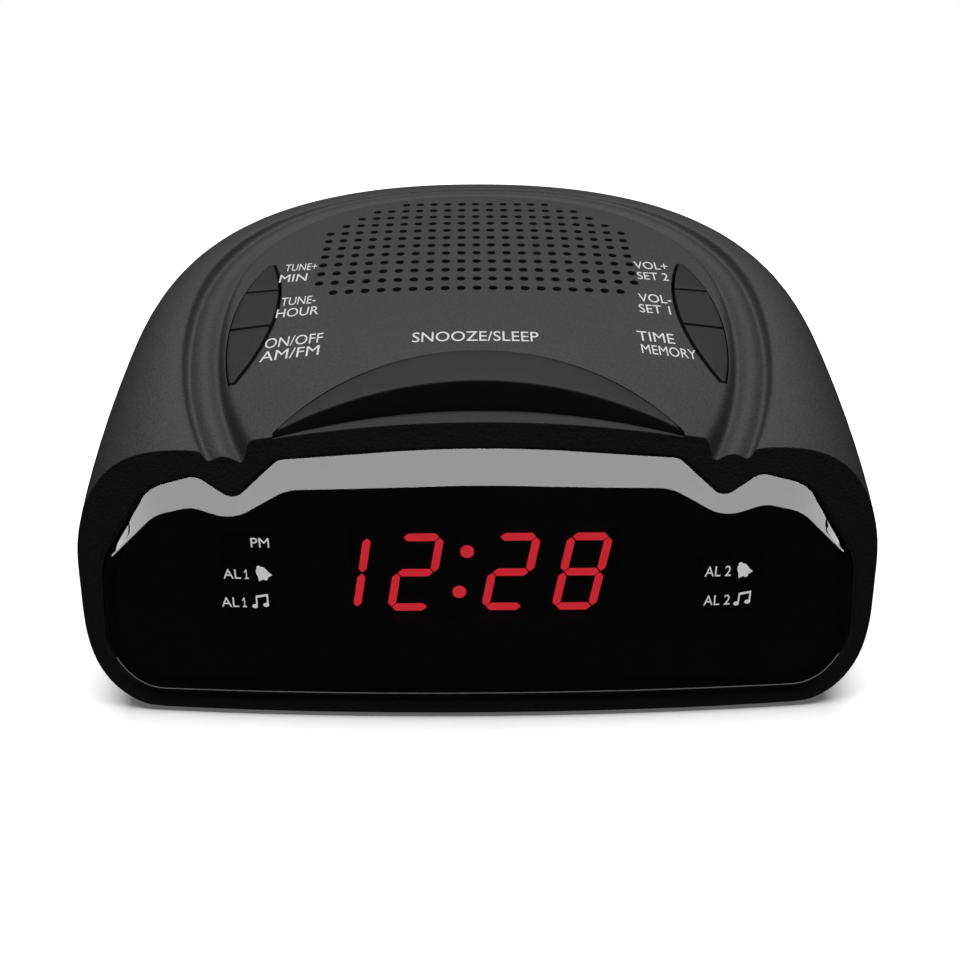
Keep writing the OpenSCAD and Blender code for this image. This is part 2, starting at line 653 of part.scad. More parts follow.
module snooze_bar() {
  color([0.15, 0.15, 0.16]) {
    difference() {
      union() {
        intersection() {
          translate([0, 0, snooze_bar_low]) linear_extrude(20) crescent(0);
          crowned_block(panel_front_z + 0.2, snooze_slope, snooze_crown_r);
        }
        // lip under the panel's edge
        intersection() {
          translate([0, 0, snooze_bar_low]) linear_extrude(20) difference() {
            translate([0, snooze_rear_y]) circle(r = snooze_rear_r + key_lip + key_gap, $fn = 128);
            translate([0, snooze_rear_y]) circle(r = snooze_rear_r - 1, $fn = 128);
            translate([-50, front_y - 70]) square([100, 70 + 14]);
          }
          crowned_block(panel_front_z - 2.9, snooze_slope, snooze_crown_r);
        }
      }
      // hollow underside
      intersection() {
        translate([0, 0, snooze_bar_low - 1]) linear_extrude(20) difference() {
          translate([0, snooze_rear_y]) circle(r = snooze_rear_r - 1.6, $fn = 128);
          translate([0, snooze_front_y]) circle(r = snooze_front_r + 1.6, $fn = 128);
        }
        crowned_block(panel_front_z - 2, snooze_slope, snooze_crown_r);
      }
    }
    translate([snooze_switch[0], snooze_switch[1], snooze_stem_top])
      cylinder(r = key_post_r + 0.3, h = panel_z(0, snooze_switch[1] - front_y) - 1 - snooze_stem_top, $fn = 32);
  }
}
module key_on(side, i) {
  color([0.15, 0.15, 0.16]) mirror([side < 0 ? 1 : 0, 0, 0]) {
    key(i);
    intersection() {
      translate([0, keys[i][1], 0]) linear_extrude(100) translate([0, -keys[i][1]]) intersection() {
        leaf(key_lip);
        translate([30, max(keys[i][1] + 0.3, leaf_front[1] + 4)])
          square([keys[i][0][0] - 30, min(keys[i][2], leaf_rear[1] - 4) - 0.6 - max(keys[i][1], leaf_front[1] + 4)]);
      }
      panel_slab(keys[i][0], -wall - 0.7, 0.6);
    }
  }
}
module switches(side) {
  color([0.1, 0.1, 0.1]) mirror([side < 0 ? 1 : 0, 0, 0]) for (k = keys) switch_body(k[0], key_board_z + pcb_t);
}
module key_stem(side, i) {
  color([0.85, 0.85, 0.8]) mirror([side < 0 ? 1 : 0, 0, 0]) stem(keys[i][0], key_board_z + pcb_t, key_travel);
}
module chip(x, y, w, d, h, pins) {
  z = board_z + pcb_t;
  color([0.05, 0.05, 0.05]) translate([x - w / 2, y - d / 2, z + 0.5]) cube([w, d, h]);
  color([0.7, 0.7, 0.7]) for (i = [0 : pins - 1], s = [-1, 1]) {
    px = x - w / 2 + (i + 0.5) * w / pins;
    translate([px - 0.25, y + s * (d / 2 + 0.6) - 0.15, z]) cube([0.5, 0.3, 1.8]);
    translate([px - 0.25, y + s * (d / 2 + 0.3) - 0.45, z + 1.5]) cube([0.5, 0.9, 0.3]);
  }
}
module clock_chip() { chip(-16, -30, 35, 13, 3.8, 14); }
module radio_chip() { chip(24, -30, 20, 7.6, 2.6, 8); }
module capacitors() {
  for (p = [[10, -14], [31, -13], [33, -42]]) translate([p[0], p[1], board_z + pcb_t]) {
    color([0.1, 0.12, 0.3]) cylinder(r = 4, h = 11, $fn = 48);
    color([0.8, 0.8, 0.8]) translate([0, 0, 11 - tiny]) cylinder(r = 3.4, h = 0.3, $fn = 48);
  }
}
module crystal() {
  color([0.75, 0.75, 0.76]) translate([-4, -16, board_z + pcb_t]) {
    for (x = [-3.2, 3.2]) translate([x, 0, 0]) cylinder(r = 2.3, h = 3.4, $fn = 32);
    translate([-3.2, -2.3, 0]) cube([6.4, 4.6, 3.4]);
  }
}

// ---- power inlet ----
jack_r = 5.45;
jack_flange_r = 6.6;
jack_flange_t = 1.2;
jack_bore_r = 2.75;
jack_pin_r = 1.05;
jack_len = 14;
module jack_place() {
  translate([jack_at[0], jack_seat_y, jack_at[1]]) rotate([90, 0, 0]) children();
}
module dc_jack() {
  color([0.06, 0.06, 0.06]) jack_place() {
    difference() {
      union() {
        translate([0, 0, -jack_flange_t]) cylinder(r = jack_flange_r, h = jack_flange_t, $fn = 64);
        cylinder(r = jack_r, h = jack_len, $fn = 64);
        for (x = [-2.5, 2.5]) translate([x - 1, -0.3, jack_len - tiny]) cube([2, 0.6, 4]);
      }
      translate([0, 0, -jack_flange_t - 1]) cylinder(r = jack_bore_r, h = 11, $fn = 48);
    }
    translate([0, 0, 0]) cylinder(r = jack_pin_r, h = 9, $fn = 32);
    translate([0, 0, 0]) sphere(r = jack_pin_r, $fn = 32);
  }
}
module jack_nut() {
  color([0.75, 0.75, 0.75]) jack_place() translate([0, 0, jack_boss_t]) difference() {
    cylinder(r = 7.6, h = 2.6, $fn = 6);
    translate([0, 0, -1]) cylinder(r = jack_r + 0.05, h = 5, $fn = 64);
  }
}

// ---- loudspeaker ----
speaker_r = speaker_d / 2;
magnet_r = 15;
rim_t = 1.6;
module speaker_basket() {
  color([0.3, 0.3, 0.32]) speaker_place() {
    difference() {
      rotate_extrude($fn = 96) polygon([[speaker_r - 3, 0], [speaker_r, 0], [speaker_r, -rim_t],
        [speaker_r - 2, -rim_t], [magnet_r - 1, -13], [magnet_r - 1, -14], [8, -14], [8, -13],
        [magnet_r - 2.6, -12.6], [speaker_r - 3, -1.8]]);
      for (a = [45 : 90 : 315]) rotate([0, 0, a]) translate([17, -5, -10]) cube([6, 10, 7]);
    }
    difference() {
      union() {
        for (x = [-1, 1], y = [-1, 1])
          translate([x * speaker_ear_at, y * speaker_ear_at, -rim_t]) cylinder(r = 3.2, h = rim_t, $fn = 32);
        for (a = [45 : 90 : 315]) rotate([0, 0, a])
          translate([speaker_r - 1.9, -3.2, -rim_t]) cube([speaker_ear_at * sqrt(2) - speaker_r + 1.9, 6.4, rim_t]);
      }
      for (x = [-1, 1], y = [-1, 1])
        translate([x * speaker_ear_at, y * speaker_ear_at, -3]) cylinder(r = screw_r + 0.1, h = 6, $fn = 24);
      translate([0, 0, -5]) cylinder(r = speaker_r - 2, h = 10, $fn = 96);
    }
  }
}
module speaker_magnet() {
  color([0.2, 0.2, 0.21]) speaker_place() {
    translate([0, 0, -20]) cylinder(r = magnet_r + 1, h = 6, $fn = 96);
    translate([0, 0, -22]) cylinder(r = magnet_r - 1, h = 2 + tiny, $fn = 96);
    translate([0, 0, -14 - tiny]) cylinder(r = 6, h = 4, $fn = 64);
  }
}
module speaker_cone() {
  color([0.1, 0.1, 0.1]) speaker_place() rotate_extrude($fn = 96)
    polygon([[speaker_r - 3.2, -0.6], [speaker_r - 3.2, -1.2], [speaker_r - 5.4, -1.6], [7.2, -9.6],
      [7.2, -13.4], [6.6, -13.4], [6.6, -9.2], [speaker_r - 5.6, -1.0], [speaker_r - 4.4, -0.4]]);
}
module speaker_dust_cap() {
  color([0.05, 0.05, 0.05]) speaker_place() translate([0, 0, -8.9]) intersection() {
    translate([0, 0, -9]) difference() {
      sphere(r = 11.2, $fn = 64);
      sphere(r = 10.6, $fn = 64);
    }
    cylinder(r = 6.55, h = 6, $fn = 64);
  }
}
module speaker_cloth() {
  color([0.04, 0.04, 0.04]) speaker_place() translate([0, 0, tiny]) cylinder(r = speaker_r - 0.5, h = 0.4, $fn = 96);
}

// ---- aerial ----
rod_r = 4;
rod_y = 36;
rod_z = 34;
rod_half = 30;
module rod_along(r, x0, x1) {
  translate([x0, rod_y, rod_z]) rotate([0, 90, 0]) cylinder(r = r, h = x1 - x0, $fn = 64);
}
module ferrite_rod() {
  color([0.2, 0.2, 0.2]) rod_along(rod_r, -rod_half, rod_half);
}
module antenna_coil() {
  color([0.7, 0.4, 0.2]) difference() {
    rod_along(rod_r + 1.6, -2, 14);
    rod_along(rod_r + 0.03, -3, 15);
  }
}
module rod_clip(x) {
  color([0.85, 0.85, 0.82]) difference() {
    union() {
      translate([x - 2.5, rod_y - 3, base_top]) cube([5, 6, rod_z - base_top]);
      rod_along(rod_r + 1.8, x - 2.5, x + 2.5);
    }
    rod_along(rod_r + 0.03, x - 3, x + 3);
    translate([x - 3, rod_y - 1.6, rod_z]) cube([6, 3.2, 10]);
  }
}

// ---- fasteners and wiring ----
module case_screws() {
  color([0.6, 0.6, 0.62]) for (p = case_bosses) screw_up(p, base_z + case_sink - screw_head_h, case_screw_l);
}
module board_screws() {
  color([0.6, 0.6, 0.62]) {
    for (p = key_bosses, s = [-1, 1]) screw_up([s * p[0], p[1]], key_board_z - screw_head_h, board_screw_l);
    for (p = snooze_bosses) screw_up(p, snooze_board_z - screw_head_h, board_screw_l);
    for (p = board_posts) translate([0, 0, 2 * (board_z + pcb_t)]) mirror([0, 0, 1])
      screw_up(p, board_z + pcb_t - screw_head_h, board_screw_l);
    face_frame() for (p = mask_posts) {
      face_rod(p, screw_head_r, display_board_y + pcb_t, display_board_y + pcb_t + screw_head_h, 32);
      face_rod(p, screw_r, display_board_y + pcb_t - 5, display_board_y + pcb_t + tiny, 24);
    }
  }
}
module speaker_screws() {
  color([0.6, 0.6, 0.62]) speaker_place() for (x = [-1, 1], y = [-1, 1]) {
    translate([x * speaker_ear_at, y * speaker_ear_at, -rim_t - screw_head_h])
      cylinder(r = screw_head_r, h = screw_head_h, $fn = 32);
    translate([x * speaker_ear_at, y * speaker_ear_at, -rim_t - tiny])
      cylinder(r = screw_r, h = rim_t + 1.7, $fn = 24);
  }
}
ribbon_r = 6;
ribbon_t = 0.6;
module ribbon_cable() {
  y0 = front_y + display_board_y + pcb_t - 0.1;
  z0 = board_z + pcb_t + ribbon_r + 3;
  color([0.6, 0.6, 0.62]) translate([-12, 0, 0]) rotate([90, 0, 90]) linear_extrude(24)
    translate([y0, z0]) polygon(concat(
      [for (a = [90 : -10 : 0]) (ribbon_r + ribbon_t) * [cos(a), sin(a)]],
      [[ribbon_r + ribbon_t, -ribbon_r - 3], [ribbon_r, -ribbon_r - 3]],
      [for (a = [0 : 10 : 90]) ribbon_r * [cos(a), sin(a)]]));
}
lead_r = 0.6;
lead_bend_r = 0.72;
lead_end_z = board_z + pcb_t + 0.3;
module wire(points) {
  for (i = [0 : len(points) - 2]) {
    d = points[i + 1] - points[i];
    translate(points[i]) rotate([0, acos(d[2] / norm(d)), atan2(d[1], d[0])])
      cylinder(r = lead_r, h = norm(d), $fn = 16);
    if (i > 0) translate(points[i]) sphere(r = lead_bend_r, $fn = 16);
  }
}
module speaker_leads() {
  color([0.7, 0.1, 0.1]) wire([[17, -17, 58], [20, -20, 50], [21, -20, 26], [20, -18, lead_end_z]]);
  color([0.1, 0.1, 0.1]) wire([[20, -15, 58], [23, -18, 50], [24, -18, 26], [23, -16.5, lead_end_z]]);
}

top_shell();
base_shell();
display_window();
light_mask();
led_module();
lit_segments();
dark_segments();
indicator_leds();
display_board();
main_board();
key_board_left();
key_board_right();
snooze_board();
snooze_bar();
key_on(-1, 0);  // key_tune_up
key_on(-1, 1);  // key_tune_down
key_on(-1, 2);  // key_power
key_on(1, 0);  // key_volume_up
key_on(1, 1);  // key_volume_down
key_on(1, 2);  // key_time
switches(-1);  // switches_left
switches(1);  // switches_right
color([0.1, 0.1, 0.1]) switch_body(snooze_switch, snooze_board_z + pcb_t);  // switch_snooze
key_stem(-1, 0);  // stem_tune_up
key_stem(-1, 1);  // stem_tune_down
key_stem(-1, 2);  // stem_power
key_stem(1, 0);  // stem_volume_up
key_stem(1, 1);  // stem_volume_down
key_stem(1, 2);  // stem_time
color([0.85, 0.85, 0.8]) stem(snooze_switch, snooze_board_z + pcb_t, snooze_travel);  // stem_snooze
speaker_basket();
speaker_magnet();
speaker_cone();
speaker_dust_cap();
speaker_cloth();
ferrite_rod();
antenna_coil();
rod_clip(-24);  // rod_clip_left
rod_clip(24);  // rod_clip_right
clock_chip();
radio_chip();
capacitors();
crystal();
dc_jack();
jack_nut();
cell(-1);  // cell_front
cell(1);  // cell_rear
cell_contacts();
cell_springs();
battery_door();
foot(0);  // foot_front_left
foot(1);  // foot_front_right
foot(2);  // foot_rear_left
foot(3);  // foot_rear_right
case_screws();
board_screws();
speaker_screws();
ribbon_cable();
speaker_leads();
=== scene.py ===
import math
import bpy
from mathutils import Matrix, Vector


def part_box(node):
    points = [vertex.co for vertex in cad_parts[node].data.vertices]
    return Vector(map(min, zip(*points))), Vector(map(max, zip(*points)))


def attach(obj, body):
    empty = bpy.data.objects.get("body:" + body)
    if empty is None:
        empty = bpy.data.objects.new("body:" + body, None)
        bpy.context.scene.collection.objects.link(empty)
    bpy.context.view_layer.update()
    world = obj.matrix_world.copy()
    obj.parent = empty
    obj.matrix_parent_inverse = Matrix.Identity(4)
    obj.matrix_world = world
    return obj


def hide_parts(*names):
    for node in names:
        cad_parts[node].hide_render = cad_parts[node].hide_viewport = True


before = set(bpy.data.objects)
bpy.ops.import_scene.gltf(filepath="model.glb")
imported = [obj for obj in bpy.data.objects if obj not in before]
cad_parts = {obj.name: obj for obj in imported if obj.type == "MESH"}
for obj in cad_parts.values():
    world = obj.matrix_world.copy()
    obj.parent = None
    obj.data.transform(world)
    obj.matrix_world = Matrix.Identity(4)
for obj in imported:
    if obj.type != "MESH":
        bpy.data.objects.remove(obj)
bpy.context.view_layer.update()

# The room: a plain white table top under a wide overhead softbox. A ring of wide cards lights nothing but
# the glossy window, which mirrors them. The camera looks down at the display from the front.
MM = 0.001
scene = bpy.context.scene
scene.view_settings.view_transform = "Standard"


def clear_selection():
    if bpy.context.object and bpy.context.object.mode != "OBJECT":
        bpy.ops.object.mode_set(mode="OBJECT")
    bpy.ops.object.select_all(action="DESELECT")


def softbox(name, place, aim, size, power, shown_to=("diffuse", "glossy", "transmission")):
    bpy.ops.object.light_add(type="AREA", location=[v * MM for v in place])
    lamp = bpy.context.object
    lamp.name = name
    lamp.rotation_euler = (Vector(aim) - Vector(place)).to_track_quat("-Z", "Y").to_euler()
    lamp.data.shape = "RECTANGLE"
    lamp.data.size = size[0] * MM
    lamp.data.size_y = size[1] * MM
    lamp.data.energy = power
    lamp.visible_camera = False
    lamp.visible_diffuse = "diffuse" in shown_to
    lamp.visible_glossy = "glossy" in shown_to
    lamp.visible_transmission = "transmission" in shown_to
    return lamp


clear_selection()
bpy.ops.mesh.primitive_plane_add(size=1.0, location=(0, 0, 0))
table = bpy.context.object
table.name = "table_top"
table.visible_diffuse = False
table.visible_glossy = False
table.visible_transmission = False
table_paint = bpy.data.materials.new("white_table")
table_paint.use_nodes = True
table_shader = table_paint.node_tree.nodes["Principled BSDF"]
table_shader.inputs["Base Color"].default_value = (0.93, 0.93, 0.93, 1)
table_shader.inputs["Roughness"].default_value = 0.9
table_shader.inputs["Specular IOR Level"].default_value = 0
table_shader.inputs["Emission Color"].default_value = (1, 1, 1, 1)
table_shader.inputs["Emission Strength"].default_value = 0.1
table.data.materials.append(table_paint)

world = bpy.data.worlds.new("studio")
world.use_nodes = True
scene.world = world
sky = world.node_tree.nodes["Background"]
ray = world.node_tree.nodes.new("ShaderNodeLightPath")
backdrop = world.node_tree.nodes.new("ShaderNodeMix")
backdrop.data_type = "RGBA"
backdrop.inputs["A"].default_value = (0.03, 0.03, 0.03, 1)
backdrop.inputs["B"].default_value = (1, 1, 1, 1)
world.node_tree.links.new(ray.outputs["Is Camera Ray"], backdrop.inputs["Factor"])
world.node_tree.links.new(backdrop.outputs["Result"], sky.inputs["Color"])

softbox("overhead", (0, 90, 880), (0, 20, 40), (1000, 800), 17)

# the cards stand round the window edge to edge, each with its own power in watts a square metre
CARD_AIM = (0, -60, 50)
CARD_POWER = 25
LOW_CARD_POWER = 3
CARDS = (("front_card", (0, -900, 450), (8000, 900), CARD_POWER),
         ("top_card", (0, -267.6, 956.5), (8000, 900), CARD_POWER),
         ("rear_card", (0, 521.5, 775.8), (8000, 900), CARD_POWER),
         ("left_card", (-4000, 0, 430), (1800, 860), CARD_POWER),
         ("right_card", (4000, 0, 430), (1800, 860), CARD_POWER),
         ("low_card", (0, -80, -60), (300, 90), LOW_CARD_POWER))
window_group = bpy.data.collections.new("window_only")
for name, place, size, strength in CARDS:
    card = softbox(name, place, CARD_AIM, size, strength * size[0] * size[1] * MM * MM, ("glossy",))
    card.light_linking.receiver_collection = window_group

bpy.ops.object.camera_add(location=(-1.3 * MM, -217.7 * MM, 141 * MM),
                          rotation=(math.radians(60.2), 0, math.radians(-0.6)))
camera = bpy.context.object
camera.data.lens = 39.45
camera.data.sensor_width = 36
camera.data.shift_x = -0.001
camera.data.clip_start = 0.01
scene.camera = camera

# Upper moulding: one injection-moulded ABS shell with a fine spark texture. A crowned panel stands in a
# ridged groove, the shoulders roll down to the waist, and the front is cut off by a bulged, leaning face.
FACE_Y = -61.2
PLAN_Y = -16.2
WAIST = 30.5
UNDERSIDE = 1.1
TUCK = 12
SWELL = 1.65
WALL = 2.2
FACE_RADIUS = 800
FACE_LEAN = math.radians(5)
TURNS = 120


def superellipse(a, half, rear, front, n_rear, n_front):
    rearward = math.sin(a) > 0
    reach, n = (rear, n_rear) if rearward else (front, n_front)
    return (abs(math.cos(a) / half) ** n + abs(math.sin(a) / reach) ** n) ** (-1 / n)


def panel_height(x, d):
    k = min(max(d / 60, 0), 1)
    crown = 0.0025 - 0.0017 * k * k * (3 - 2 * k)
    return 60.5 + 0.2492 * d - 0.0009 * d * d - crown * x * x


def shoulder_height(d):
    return 54.3 + 0.3 * d - 0.00075 * d * d


def cabinet_section(a, inside=0):
    """Rings of the shell along angle a, from the crown down to the underside, each (radius, height)."""
    panel = superellipse(a, 49.8, 47.8, 70, 2.2, 2)
    groove = superellipse(a, 57.5, 52, 76, 2.25, 2)
    body = superellipse(a, 75.5, 80, 92, 2.1, 3.15)
    rear = min(max((math.sin(a) - 0.3) / 0.6, 0), 1)
    fade = 1 - 0.65 * rear * rear * (3 - 2 * rear)
    rings = []

    def depth(r):
        return r * math.sin(a) + PLAN_Y - FACE_Y

    edge = panel - 0.6 - inside
    for k in (0, 0.04, 0.12, 0.25, 0.4, 0.55, 0.7, 0.83, 0.92, 0.965, 0.985, 1):
        rings.append((edge * k, panel_height(edge * k * math.cos(a), depth(edge * k)) - inside))
    for k, sunk in ((0.02, 0), (0.06, 1.2), (0.12, 1.9), (0.2, 1.9), (0.34, 1.1), (0.5, 0.8),
                    (0.66, 1.1), (0.78, 1.8), (0.85, 1.9), (0.92, 1.3), (0.96, 0.4)):
        r = panel + (groove - panel) * k
        sunk = 2 if inside else sunk * fade
        top = panel_height(edge * math.cos(a), depth(edge)) - 0.9 if k == 0.02 and not inside else 1e9
        rings.append((r - inside, min(shoulder_height(depth(r)) - sunk, top) - inside))
    for u in (0, 0.05, 0.12, 0.22, 0.34, 0.46, 0.57, 0.67, 0.76, 0.84, 0.9, 0.95, 0.985, 1):
        r = groove - inside + (body - groove) * u
        d = min(groove * math.sin(a), r * math.sin(a)) + PLAN_Y - FACE_Y
        top = shoulder_height(d) - (2 + inside if inside else 0.12 if u == 0 else 0)
        rings.append((r, WAIST + (top - WAIST) * (1 - u ** 2.7) ** (1 / 1.7)))
    for t in (0.15, 0.3, 0.45, 0.6, 0.72, 0.82, 0.89, 0.94, 0.97, 0.99, 1):
        tuck = TUCK * (1 - math.sqrt(1 - t ** 4)) - SWELL * 5.38 * t ** 1.5 * (1 - t) * math.cos(a) ** 2
        rings.append((body - tuck - inside, WAIST - (WAIST - UNDERSIDE - inside) * t))
    if inside:
        rings.append((body - TUCK - inside, UNDERSIDE - 2))
    return rings


def shell_form(name, inside, turns):
    """A flat grid wrapped round the plan centre and lifted onto the section's rings."""
    rows = len(cabinet_section(0.3, inside))
    clear_selection()
    bpy.ops.mesh.primitive_grid_add(x_subdivisions=turns, y_subdivisions=rows - 1, size=2)
    form = bpy.context.object
    form.name = name
    sections = [cabinet_section(2 * math.pi * i / turns + 1e-6, inside) for i in range(turns)]
    for v in form.data.vertices:
        i = round((v.co.x + 1) / 2 * turns) % turns
        r, z = sections[i][round((v.co.y + 1) / 2 * (rows - 1))]
        a = 2 * math.pi * i / turns
        v.co = (r * math.cos(a) * MM, (PLAN_Y + r * math.sin(a)) * MM, z * MM)
    bpy.ops.object.mode_set(mode="EDIT")
    bpy.ops.mesh.select_all(action="SELECT")
    bpy.ops.mesh.remove_doubles(threshold=0.02 * MM)
    bpy.ops.mesh.select_all(action="SELECT")
    bpy.ops.mesh.fill_holes(sides=0)
    bpy.ops.mesh.select_all(action="SELECT")
    bpy.ops.mesh.normals_make_consistent(inside=False)
    bpy.ops.object.mode_set(mode="OBJECT")
    return form


def apply_all(piece):
    clear_selection()
    bpy.context.view_layer.objects.active = piece
    piece.select_set(True)
    for m in list(piece.modifiers):
        bpy.ops.object.modifier_apply(modifier=m.name)


def cut(piece, cutter, operation="DIFFERENCE"):
    """Takes the cutter out of the piece, or joins it on, and removes the cutter."""
    m = piece.modifiers.new("cut", "BOOLEAN")
    m.operation = operation
    m.solver = "MANIFOLD"
    m.object = cutter
    apply_all(piece)
    bpy.data.objects.remove(cutter)


def bulge(x):
    return FACE_RADIUS - math.sqrt(FACE_RADIUS ** 2 - x * x)


def block(name, outline, low, high, across=2.0, along=0, soften=0):
    """A block standing on a plan outline, sliced so that its ends follow the heights low and high."""
    clear_selection()
    bpy.ops.mesh.primitive_circle_add(vertices=len(outline), radius=MM, fill_type="NGON")
    form = bpy.context.object
    form.name = name
    for v, (x, y) in zip(form.data.vertices, outline):
        v.co = (x * MM, y * MM, 0)
    bpy.ops.object.mode_set(mode="EDIT")
    bpy.ops.mesh.select_all(action="SELECT")
    bpy.ops.mesh.extrude_region_move(TRANSFORM_OT_translate={"value": (0, 0, 3 * MM)})
    if soften:
        bpy.ops.mesh.bevel(offset=soften * MM, segments=4, profile=0.5, affect="EDGES")
    xs, ys = [p[0] for p in outline], [p[1] for p in outline]
    for axis, step, least, most in ((0, across, min(xs), max(xs)), (1, along, min(ys), max(ys))):
        for i in range(1, math.ceil((most - least) / step) if step else 0):
            place, normal = [0, 0, 0], [0, 0, 0]
            place[axis] = (least + i * (most - least) / math.ceil((most - least) / step)) * MM
            normal[axis] = 1
            bpy.ops.mesh.select_all(action="SELECT")
            bpy.ops.mesh.bisect(plane_co=place, plane_no=normal)
    bpy.ops.object.mode_set(mode="OBJECT")
    for v in form.data.vertices:
        x, y, z = v.co / MM
        v.co.z = (high(x, y) + z - 3 if z > 1.5 else low(x, y)) * MM
    bpy.ops.object.mode_set(mode="EDIT")
    bpy.ops.mesh.select_all(action="SELECT")
    bpy.ops.mesh.normals_make_consistent(inside=False)
    bpy.ops.object.mode_set(mode="OBJECT")
    return form


def stand_in_face(form):
    """Turns a block drawn flat (x, height, depth) into the bulged, leaning face's own place."""
    for v in form.data.vertices:
        x, h, depth = v.co / MM
        depth += bulge(x)
        v.co = (x * MM, (FACE_Y + depth * math.cos(FACE_LEAN) + h * math.sin(FACE_LEAN)) * MM,
                (WAIST - depth * math.sin(FACE_LEAN) + h * math.cos(FACE_LEAN)) * MM)
    clear_selection()
    bpy.context.view_layer.objects.active = form
    form.select_set(True)
    bpy.ops.object.mode_set(mode="EDIT")
    bpy.ops.mesh.select_all(action="SELECT")
    bpy.ops.mesh.normals_make_consistent(inside=False)
    bpy.ops.object.mode_set(mode="OBJECT")
    return form


def round_corners(points, steps=10, between=5):
    """Replaces each corner (x, y, radius) of an outline with an arc, and divides the straights between."""
    arcs, out = [], []
    for i, q in enumerate(points):
        p, s = Vector(points[i - 1][:2]), Vector(points[(i + 1) % len(points)][:2])
        c = Vector(q[:2])
        u, w = (p - c).normalized(), (s - c).normalized()
        half = math.acos(max(-1, min(1, u.dot(w)))) / 2
        reach = q[2] / math.tan(half)
        mid = c + (u + w).normalized() * (q[2] / math.sin(half))
        a, b = c + u * reach - mid, c + w * reach - mid
        turn = math.atan2(a.x * b.y - a.y * b.x, a.dot(b))
        arc = []
        for k in range(steps + 1):
            t = turn * k / steps
            arc.append((mid.x + a.x * math.cos(t) - a.y * math.sin(t),
                        mid.y + a.x * math.sin(t) + a.y * math.cos(t)))
        arcs.append(arc)
    for i, arc in enumerate(arcs):
        last, first = Vector(arc[-1]), Vector(arcs[(i + 1) % len(arcs)][0])
        out += arc + [tuple(last.lerp(first, k / between)) for k in range(1, between)]
    return out


def both_sides(right_half, top):
    left = [(-x, y, r) for x, y, r in reversed(right_half)]
    return round_corners([top] + right_half + left)


def in_face(points):
    return [(x, y - WAIST) for x, y in points]


def loft(name, loops, across=2.0):
    """A solid through loops of equal count, each an outline at a depth, sliced across so that it can bend."""
    clear_selection()
    bpy.ops.mesh.primitive_circle_add(vertices=len(loops[0][0]), radius=MM, fill_type="NGON")
    form = bpy.context.object
    form.name = name
    bpy.ops.object.mode_set(mode="EDIT")
    bpy.ops.mesh.select_all(action="SELECT")
    for i in range(len(loops) - 1):
        bpy.ops.mesh.extrude_region_move(TRANSFORM_OT_translate={"value": (0, 0, 50 * MM)})
    bpy.ops.object.mode_set(mode="OBJECT")
    for i, (outline, depth) in enumerate(loops):
        level = [v for v in form.data.vertices if round(v.co.z / MM / 50) == i]
        for v, (x, y) in zip(level, outline):
            v.co = (x * MM, y * MM, v.co.z)
    for v in form.data.vertices:
        v.co.z = loops[round(v.co.z / MM / 50)][1] * MM
    bpy.ops.object.mode_set(mode="EDIT")
    half = max(p[0] for outline, depth in loops for p in outline)
    for i in range(-int(half / across), int(half / across) + 1):
        bpy.ops.mesh.select_all(action="SELECT")
        bpy.ops.mesh.bisect(plane_co=(i * across * MM, 0, 0), plane_no=(1, 0, 0))
    bpy.ops.object.mode_set(mode="OBJECT")
    return form


WINDOW_HALF = [(34.8, 53.8, 3), (43.4, 45.9, 2.4), (49.6, 50.5, 3), (58.5, 47.9, 9),
               (68.9, 33, 14), (71, 13.9, 12.6), (65.2, 5.2, 8.6)]
WINDOW_TOP = (0, 56.8, 200)
window_outline = in_face(both_sides(WINDOW_HALF, WINDOW_TOP))


def grown(outline, by):
    """The outline moved outwards along its own normals."""
    out = []
    for i, (x, y) in enumerate(outline):
        along = Vector(outline[(i + 1) % len(outline)]) - Vector(outline[i - 1])
        side = Vector((along.y, -along.x)).normalized() * by
        out.append((x - side.x, y - side.y))
    return out


cabinet = shell_form("cabinet_top", 0, TURNS)
smooth = cabinet.modifiers.new("smooth", "SUBSURF")
smooth.levels = smooth.render_levels = 1
apply_all(cabinet)
hollow = shell_form("hollow", WALL, 72)
wide = [(-90, -60), (90, -60), (90, 120), (-90, 120)]
cut(hollow, stand_in_face(block("front_inner", wide, lambda x, y: -60, lambda x, y: 3.7, 6)))
cut(cabinet, stand_in_face(block("front_outer", wide, lambda x, y: -60, lambda x, y: 0, 2)))

# a solid shelf stays in front of the snooze bar
SNOOZE_REAR_R = 42.5
SNOOZE_FRONT_R = 68
SNOOZE_HALF = 35
snooze_rear_y = FACE_Y + 22.6 - SNOOZE_REAR_R
snooze_front_y = FACE_Y + 13.6 - SNOOZE_FRONT_R
shelf = [(-38, FACE_Y - 5), (38, FACE_Y - 5), (38, FACE_Y + 13), (-38, FACE_Y + 13)]
cut(hollow, block("shelf", shelf, lambda x, y: 54, lambda x, y: 90, 0))
cut(cabinet, hollow)


def arc_y(x, centre, radius):
    return centre + math.sqrt(max(radius * radius - x * x, 0))


def ledge_height(x, y):
    return 61.9 - math.tan(math.radians(16)) * (y - FACE_Y) - x * x / 400


def crescent(gap):
    xs = [(SNOOZE_HALF + gap) * (i / 24) for i in range(-24, 25)]
    rear = [(x, arc_y(x, snooze_rear_y, SNOOZE_REAR_R + gap)) for x in xs]
    fore = [(x, min(arc_y(x, snooze_front_y, SNOOZE_FRONT_R - gap), y - 0.15)) for x, y in rear]
    return rear + fore[::-1]


def room_outline(gap):
    xs = [(SNOOZE_HALF + gap) * (i / 24) for i in range(-24, 25)]
    return ([(x, arc_y(x, snooze_rear_y, SNOOZE_REAR_R + gap)) for x in xs]
            + [(SNOOZE_HALF + gap, FACE_Y - 6), (-SNOOZE_HALF - gap, FACE_Y - 6)])


